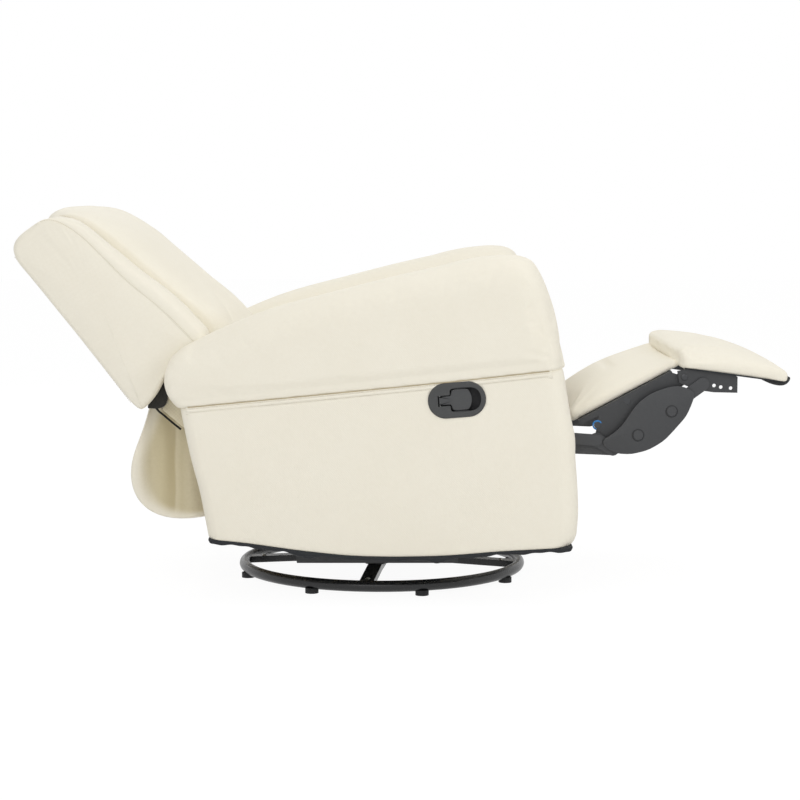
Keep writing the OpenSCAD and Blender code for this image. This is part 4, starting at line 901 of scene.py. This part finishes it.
def slab_rings(x0, x1, half, thick, rim, corner, crown, draw, skew=0, taper=0):
    """Rings of a padded slab on a flat board, from the board upwards, as the solid has them."""
    low = rim / 2
    reach = min((x1 - x0) / 2, half) - rim
    rings = []

    def ring(inset, z, dome):
        loop = plan_loop(x0, x1, -half, half, corner, corner, inset)
        sx, sy = (loop[:, 0] - (x0 + x1) / 2) / ((x1 - x0) / 2), loop[:, 1] / half
        high = (z + dome * (1 - sx ** 2) * (1 - sy ** 2)) * (1 - taper * ((sx + 1) / 2) ** 3)
        lean = skew * z / thick * (1 - sx) / 2 * (1 - 0.65 * sy ** 2)
        rings.append(np.stack([loop[:, 0] - draw * sx * (1 - sy ** 2) - lean,
                               loop[:, 1] - draw * sy * (1 - sx ** 2), high], 1))
    for a in np.linspace(0, np.pi / 2, 5):
        ring(low * (1 - math.sin(a)), low * (1 - math.cos(a)), 0)
    for a in np.linspace(0, np.pi / 2, 10)[1 if thick - rim > low else 0:]:
        ring(rim * (1 - math.cos(a)), thick - rim + rim * math.sin(a), crown * a * 2 / np.pi)
    for share in (0.06, 0.16, 0.26, 0.36, 0.48, 0.62, 0.75, 0.88):
        ring(rim + reach * share, thick, crown)
    return rings


rings = np.array(slab_rings(SEAT_X0, SEAT_X1, SEAT_HALF, SEAT_T, 24, 30, SEAT_CROWN, 4))
points, faces = skinned(rings + [0, 0, SEAT_Z])
seat = piece("seat_pad", points, faces, cream_cloth, "cream_fabric")
stuffed(seat, 7, 4, 22, lambda p: p[:, 2] < SEAT_Z + 34, share=0.5)
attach(seat, "seat")
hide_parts("seat_cushion")

# Skirt behind the seat: a cream cloth sewn to the lower edge of the back and to the rear
# rail, with lining panels at its sides, coloured khaki as painted shade of the hollow inside.
SKIRT_HALF = 262
SKIRT_CURVE = [(-337, 154), (-544.7, 113.9), (-474.1, 320.7), (-467.8, 254.4), (-436.5, 391)]
WEB_EDGE = [
    (-320.5, 161), (-322, 205), (-322, 250), (-331, 278), (-345, 300), (-379, 325), (-402, 343),
    (-421, 359), (-430, 372)]


def bow(share):
    """The skirt in side view, from the rail at 0 to the back at 1."""
    t = np.asarray(share, float)[:, None]
    low, pull_low, pull_mid, pull_top, top = np.array(SKIRT_CURVE, float)
    return (low * (1 - t) ** 4 + 4 * pull_low * t * (1 - t) ** 3 + 6 * pull_mid * (t * (1 - t)) ** 2
            + 4 * pull_top * t ** 3 * (1 - t) + top * t ** 4)


def cloth_sheet(name, grid, thick, made, slot):
    """A thin closed sheet from rows of points in millimetres."""
    grid = np.asarray(grid, float)
    across = np.gradient(grid, axis=0)
    down = np.gradient(grid, axis=1)
    way = np.cross(across, down)
    way /= np.maximum(np.linalg.norm(way, axis=2, keepdims=True), 1e-9)
    rows, cols = grid.shape[:2]
    points = np.concatenate([(grid + way * thick / 2).reshape(-1, 3),
                             (grid - way * thick / 2).reshape(-1, 3)])
    size, faces = rows * cols, []
    for i in range(rows - 1):
        for j in range(cols - 1):
            a = i * cols + j
            faces += [(a, a + 1, a + cols + 1, a + cols),
                      (a + size, a + cols + size, a + cols + 1 + size, a + 1 + size)]
    rim = ([(0, j) for j in range(cols)] + [(i, cols - 1) for i in range(1, rows)]
           + [(rows - 1, j) for j in range(cols - 2, -1, -1)]
           + [(i, 0) for i in range(rows - 2, 0, -1)])
    rim = [i * cols + j for i, j in rim]
    faces += [(a, b, b + size, a + size) for a, b in zip(rim, rim[1:] + rim[:1])]
    return piece(name, points, faces, made, slot)


# The lining's colour is painted shade: khaki for the hollow, and a ramp along it adds a pale band
# for a fold's lit ridge; its rim is the cream cloth's turned edge, brightened as painted light.
LINING_PAINTED_SHADE_TONES = [
    (0, (247, 241, 224)), (0.15, (238, 231, 210)), (0.24, (224, 215, 188)),
    (0.38, (214, 203, 170)), (0.54, (203, 191, 157)), (0.565, (230, 221, 195)),
    (0.64, (216, 206, 176)), (0.82, (234, 225, 201)), (1, (212, 202, 172))]
# Darker weave tone of the lining, painted shade as well
LINING_PAINTED_DARK = (190, 178, 144)
painted_shade_lining = cloth_finish("lining_painted_shade", (212, 202, 170), LINING_PAINTED_DARK, 0, 760, 0.1, 0.5)
tree = painted_shade_lining.node_tree
place = wired(tree, "TexCoord").outputs["Object"]
across = wired(tree, "SeparateXYZ", {0: place}).outputs["X"]
drift = times(tree, speckle(tree, place, 9, 2, 0.5), 0.012)
spot = wired(tree, "MapRange", {"From Min": -0.474, "From Max": -0.324,
                                "Value": plus(tree, across, drift)})
tones = toned(tree, spot, LINING_PAINTED_SHADE_TONES)
# The rim fades from a cream brighter than the cloth, painted light, into the painted shade
rim = wired(tree, "Attribute", attribute_name="rim").outputs["Fac"]
weave = next(part for part in tree.nodes if part.type == "GROUP")
for key, edge, inside in (("Colour", srgb(252, 247, 234), tones),
                          ("Shade", srgb(*CREAM_SHADE), srgb(*LINING_PAINTED_DARK))):
    tree.links.new(blended(tree, rim, edge, inside), weave.inputs[key])
share = np.linspace(0, 1, 70)
curve = bow(share)
out_way = -to_the_right(np.gradient(curve, axis=0))
slack = np.sin(np.pi * share) ** 1.2
rows = []
for y in np.linspace(-SKIRT_HALF, SKIRT_HALF, 131):
    fold = 2.6 * math.sin(y / 31) + 1.6 * math.sin(y / 17 + 1.3)
    fold = fold * slack * (1 - (y / SKIRT_HALF) ** 8)
    rows.append(upright(curve + out_way * fold[:, None], y))
skirt_cloth = cloth_sheet("skirt_cloth", rows, 2.2, cream_cloth, "cream_fabric")
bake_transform(skirt_cloth)
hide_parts("rear_skirt")

inner = np.array(WEB_EDGE, float)
run = np.concatenate([[0], np.cumsum(np.linalg.norm(np.diff(inner, axis=0), axis=1))])
inner = np.stack([np.interp(share * run[-1], run, inner[:, k]) for k in (0, 1)], 1)
for side, tag in SIDES:
    rows, inward = [], []
    for s in np.linspace(0, 1, 60):
        at = curve * (1 - s) + inner * s
        fold = 6 * np.sin(at[:, 0] / 8.5 + 0.6) + 4 * np.sin(at[:, 0] / 19 + 2)
        fold = fold * math.sin(math.pi * s) * np.sin(np.pi * share) ** 0.6
        rows.append(upright(at, side * (249 + fold + 13 * (1 - s) ** 3)))
        inward.append(np.linalg.norm(at - curve, axis=1))
    web = cloth_sheet("skirt_lining_" + tag, rows, 1.6, painted_shade_lining, "cream_fabric")
    tint = np.clip((np.concatenate(inward) - 3) / 34, 0, 1)
    tint = tint * tint * (3 - 2 * tint)
    web.data.attributes.new("rim", "FLOAT", "POINT").data.foreach_set("value", np.tile(tint, 2))
    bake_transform(web)

# Hinge corner: a dark sheet, painted shade in the gap behind the arm, with a cord at its edge,
# and a cream flap beside it, closing the corner between the back and the skirt on each side.
GAP_SHADE_OUTLINE = [
    (-415, 424), (-409, 407), (-403, 389), (-406, 378), (-410, 370), (-423, 365), (-436, 366),
    (-444, 366), (-438, 382), (-432, 397), (-425, 410)]
FLAP = [
    (-406, 394), (-392, 392), (-374, 376), (-362, 350), (-360, 316), (-379, 325), (-392, 337),
    (-408, 350), (-420, 361), (-411, 369), (-406, 379)]
# Dark colour of the hinge sheet: painted shade of the gap behind the arm
hinge_dark_paint = cloth_finish("hinge_gap_painted_shade", (62, 61, 58), (36, 35, 34), 0, 420, 0.1, 1.0)
flap_cloth = cloth_finish("flap_cloth", (244, 236, 212), (214, 203, 172), 0, 300, 0.1, 1.0)
cord_cloth = cloth_finish("cord_cloth", (34, 34, 34), (24, 24, 24), 0, 1200, 0.05, 0.5)


def pillow(name, outline, y, thick, made, slot, seed):
    """A small flat pad with a soft edge, from its outline in side view."""
    outline = cut_soft(outline)
    middle = outline.mean(axis=0)
    rings = [upright(middle + (outline - middle) * share,
                     y + math.copysign(1, y) * lift * thick / 2)
             for share, lift in ((0.3, -1), (0.75, -1), (0.93, -0.85), (1, -0.3), (1.01, 0),
                                 (1, 0.3), (0.95, 0.8), (0.82, 1), (0.6, 1.15), (0.3, 1.2))]
    points, faces = skinned(rings)
    points = np.array(points)
    points[:, 1] += ripple(points, 0.5, 16, seed)
    return piece(name, points, faces, made, slot)


CORD_PATH = [(-427, 366), (-421, 359), (-411, 351), (-402, 343), (-391, 334), (-380, 325)]
CORD_R = 2
path = np.array(CORD_PATH, float)
run = np.linspace(0, len(path) - 1, 40)
path = np.stack([np.interp(run, range(len(path)), path[:, k]) for k in (0, 1)], 1)
way = -to_the_right(np.gradient(path, axis=0))
a = full_turn(12)
for side, tag in SIDES:
    gap_sheet = pillow("hinge_shade_sheet_" + tag, GAP_SHADE_OUTLINE, side * 300, 5, hinge_dark_paint, "back_fabric", 41)
    flap = pillow("hinge_flap_" + tag, FLAP, side * 264.5, 4, flap_cloth, "cream_fabric", 43)
    for part, fixed, moving in ((gap_sheet, (-0.392, 0, 0.35), (-0.44, 0, 0.41)),
                                (flap, (-0.362, 0, 0.32), (-0.41, 0, 0.385))):
        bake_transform(part)
    rings = [np.column_stack([at[0] + CORD_R * np.cos(a) * w[0],
                              side * (297 + CORD_R * np.sin(a)),
                              at[1] + CORD_R * np.cos(a) * w[1]]) for at, w in zip(path, way)]
    cord = piece("hinge_cord_" + tag, *skinned(rings), cord_cloth, "back_fabric")
    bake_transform(cord)

# Middle panel: a board upholstered in the same cloth, hinged between the seat and the
# footrest; its cloth is drawn over the edges and stapled underneath.


MID_BOARD = (368, 331), 28, 1
points, faces = skinned(slab_rings(0, 243, 236, 24, 11, 16, 25, 3, 0, 0.4))
panel = piece("mid_pad", tilted(points, *MID_BOARD), faces, cream_cloth, "cream_fabric")


stuffed(panel, 5, 2, 10, lambda p: untilted(p, *MID_BOARD)[1] < 7, share=0.5)
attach(panel, "upper_ottoman")
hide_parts("mid_panel")

# Footrest pad: a thick foam pad in cream cloth on its own board, fuller at the end nearest
# the sitter, its cloth drawn under the board's edges.
FOOT_BOARD = (581, 438), 7.8, -1
points, faces = skinned(slab_rings(-7, 204, 262, 38, 15, 17, 13, 3, 36, 0.42))
rest = piece("foot_pad", tilted(points, *FOOT_BOARD), faces, cream_cloth, "cream_fabric")
stuffed(rest, 5, 0, 10, lambda p: untilted(p, *FOOT_BOARD)[1] < 8, share=0.6)
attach(rest, "footrest")
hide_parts("footrest_pad")

# Underside of the footrest: a dark dust cover stapled to the board and a moulded rubber
# bumper along its front edge, turned up at the nose.


def extruded(name, profile, half, made):
    """A strip of one cross-section across the footrest, drawn from its tilted board."""
    profile = cut_soft(profile, 2)
    middle = profile.mean(axis=0)
    rings = [tilted(upright(middle + (profile - middle) * share, y), *FOOT_BOARD)
             for y, share in ((-half, 0.7), (-half + 1.5, 1), (half - 1.5, 1), (half, 0.7))]
    return piece(name, *skinned(rings), made)


cover = extruded("foot_dust_cover", [(3, -0.2), (3, 2.6), (194, 2.6), (194, -0.2)], 259.5,
                 trim_cloth)
bumper = extruded("front_bumper", [(150, 0), (162, -4), (176, -7.5), (190, -8), (200, -5),
                                   (206, 2), (208, 10), (204, 12), (200, 6), (192, 1)], 252, rubber)
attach(cover, "footrest")
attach(bumper, "footrest")
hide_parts("nose_bumper")

# Latch: a moulded cup let into the right-hand side panel, with a flat face plate and a
# T-shaped pull paddle. The dark opening beside the paddle is for the fingers.
latch_plastic = metal_finish("latch_plastic", (58, 59, 59), (84, 85, 86), 0.5, 0.0, 1600, 0.25)
paddle_plastic = metal_finish("paddle_plastic", (62, 63, 64), (88, 89, 90), 0.42, 0.0, 1600, 0.2)
cup_plastic = metal_finish("cup_plastic", (30, 30, 32), (50, 50, 52), 0.55, 0.0, 1600, 0.2)
finish(["latch_bezel"], cup_plastic)
finish(["release_cable"], trim_cloth)
LATCH_OPENING = [
    (-35.5, -10), (-35.5, -10), (-35.5, 10), (-35.5, 10), (-18, 10), (-13, 10), (-12.5, 13),
    (-12, 23), (24, 23), (38, 19), (45, 8), (45, -8), (38, -19), (24, -23), (-12, -23),
    (-12.5, -13), (-13, -10), (-18, -10)]
PADDLE_FACE = [
    (-33.8, -8.4), (-33.8, -8.4), (-33.8, 8.4), (-33.8, 8.4), (-16, 8.4), (-11.5, 8.6),
    (-10.5, 13), (-8, 20.5), (19, 20.5), (24, 16), (28, 5), (28, -5), (24, -16), (19, -20.5),
    (-8, -20.5), (-10.5, -13), (-11.5, -8.6), (-16, -8.4)]


def eased(outline, inset):
    """An outline drawn in by an inset, for a rounded edge."""
    return outline + to_the_right(round_steps(outline)) * inset


def flat_outside(obj):
    """Shades the faces that look outwards flat, and leaves the rest smooth."""
    for facet in obj.data.polygons:
        facet.use_smooth = abs(facet.normal.y) < 0.9


face = piece("latch_face", *skinned([on_latch(latch_outline(grow, 96), y) for grow, y in (
    (-6.5, -387), (-0.4, -389.6), (-0.4, -392.4), (-1, -393.1), (-1.8, -393.4))]), latch_plastic)
slot = skinned([on_latch(cut_soft(LATCH_OPENING), y) for y in (-380, -398)])
cut_out(face, piece("latch_slot", *slot, latch_plastic))
flat_outside(face)
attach(face, "chassis")
strips = [cut_soft([(-15, low), (27, low), (27, high), (-15, high)], 1)
          for low, high in ((20.9, 26.5), (-26.5, -20.9))]
strips = joined(skinned([on_latch(strip, y) for y in (-380, -391.8)]) for strip in strips)
rails = piece("cup_rails", *strips, cup_plastic)
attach(rails, "chassis")
pull = cut_soft(PADDLE_FACE)
rings = [on_latch(eased(pull, inset), y) for inset, y in
         ((1.2, -382), (0, -383), (0, -388.4), (0.5, -389.2), (1.3, -389.5))]
paddle = piece("pull_paddle", *skinned(rings), paddle_plastic)
flat_outside(paddle)
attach(paddle, "latch")
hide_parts("latch_paddle")

# Link covers: one pressed plate on each side over the footrest links, with a rolled edge and
# two snap caps, each ringed by a dark bead that paints the shade of the gap round it.
cover_coat = metal_finish("cover_coat", (56, 57, 59), (80, 81, 82), 0.55, 0.0, 700, 0.1)
finish(["cover_caps"], cover_coat)
COVER_OUTLINE = [
    (426, 295), (431, 303), (444, 311), (460, 324), (472, 340), (483, 357), (494, 371), (507, 382),
    (521, 391), (536, 397), (555, 403), (574, 405), (588, 401), (599, 395), (603, 386), (594, 361),
    (586, 345), (575, 332), (561, 316), (547, 301), (531, 290), (514, 281), (496, 276), (480, 273),
    (457, 274), (443, 279), (434, 285)]
outline = cut_soft(COVER_OUTLINE, 1)
levels = ((0, 260.5), (0, 261.7), (0.4, 262.2), (1.2, 262.45))
plates = joined(skinned([upright(eased(outline, inset), side * y) for inset, y in levels])
                for side in (-1, 1))
pressed = piece("pressed_covers", *plates, cover_coat)
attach(pressed, "lower_ottoman")
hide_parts("link_covers")
# Dark rings round the snap caps: painted shade of the gaps round them
cap_gap_shade = metal_finish("cap_ring_painted_shade", (34, 35, 37), (56, 57, 58), 0.6, 0.0)


def washer(name, x, y, z, radius, thick, high, made, body, lean=0):
    """A round bead lying against a side face; a leaning one is sunk in it at its lower edge."""
    points = [(x + (radius + thick * math.cos(t)) * math.cos(s), y + high * math.sin(t)
               + math.copysign(lean, y) * (math.sin(s) - 1),
               z + (radius + thick * math.cos(t)) * math.sin(s))
              for s in full_turn(40) for t in full_turn(10)]
    faces = [(i * 10 + j, i * 10 + (j + 1) % 10, (i + 1) % 40 * 10 + (j + 1) % 10,
              (i + 1) % 40 * 10 + j) for i in range(40) for j in range(10)]
    ring = piece(name, points, faces, made)
    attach(ring, body)


for side, tag in SIDES:
    for k, (x, z) in enumerate(((495, 310), (559, 356))):
        washer(f"cap_ring_painted_shade_{tag}{k + 1}", x, side * 262.6, z, 11.2, 0.9, 0.6, cap_gap_shade,
               "lower_ottoman")

# Rivets and washers at the pivots of the footrest linkage: domed steel heads on the links of
# each side, a blue washer at the first pivot and a teal one at the footrest's.
rivet_steel = metal_finish("rivet_steel", (70, 71, 73), (110, 110, 110), 0.35, 0.9, 900, 0.1)
blue_washer = metal_finish("blue_washer", (36, 120, 190), (60, 140, 200), 0.35, 0.0)
teal_washer = metal_finish("teal_washer", (10, 104, 104), (30, 120, 118), 0.35, 0.0)


def rivet(name, x, y, z, radius, high, body):
    """A domed rivet head against a side face; y's sign gives its side."""
    a = full_turn(24)
    y_way = math.copysign(1, y)
    rings = [np.column_stack([x + radius * share * np.cos(a), np.full(24, y + y_way * high * lift),
                              z + radius * share * np.sin(a)])
             for share, lift in ((1, 0), (1, 0.3), (0.94, 0.62), (0.8, 0.85), (0.5, 0.97), (0.2, 1))]
    head = piece(name, *skinned(rings), rivet_steel)
    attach(head, body)


BLUE_PIVOT, TEAL_PIVOT = (418, 246.4, 327.7), (618.4, 253.4, 405)
for side, tag in SIDES:
    for k, (x, y, z, high, body) in enumerate(((475, 246.4, 374, 0.3, "upper_ottoman"),
                                               (418, 246.4, 327.7, 0.3, "upper_ottoman"),
                                               (618.4, 253.3, 405, 1.6, "footrest"),
                                               (584, 253.3, 421, 1.6, "footrest"))):
        rivet(f"link_rivet_{tag}{k + 1}", x, side * y, z, 6.5, high, body)
    x, y, z = BLUE_PIVOT
    washer("blue_washer_" + tag, x, side * y, z, 8.2, 1.5, 0.3, blue_washer, "upper_ottoman", 0.5)
    x, y, z = TEAL_PIVOT
    washer("teal_washer_" + tag, x, side * y, z, 9.4, 1.3, 0.8, teal_washer, "footrest")

bpy.context.view_layer.update()
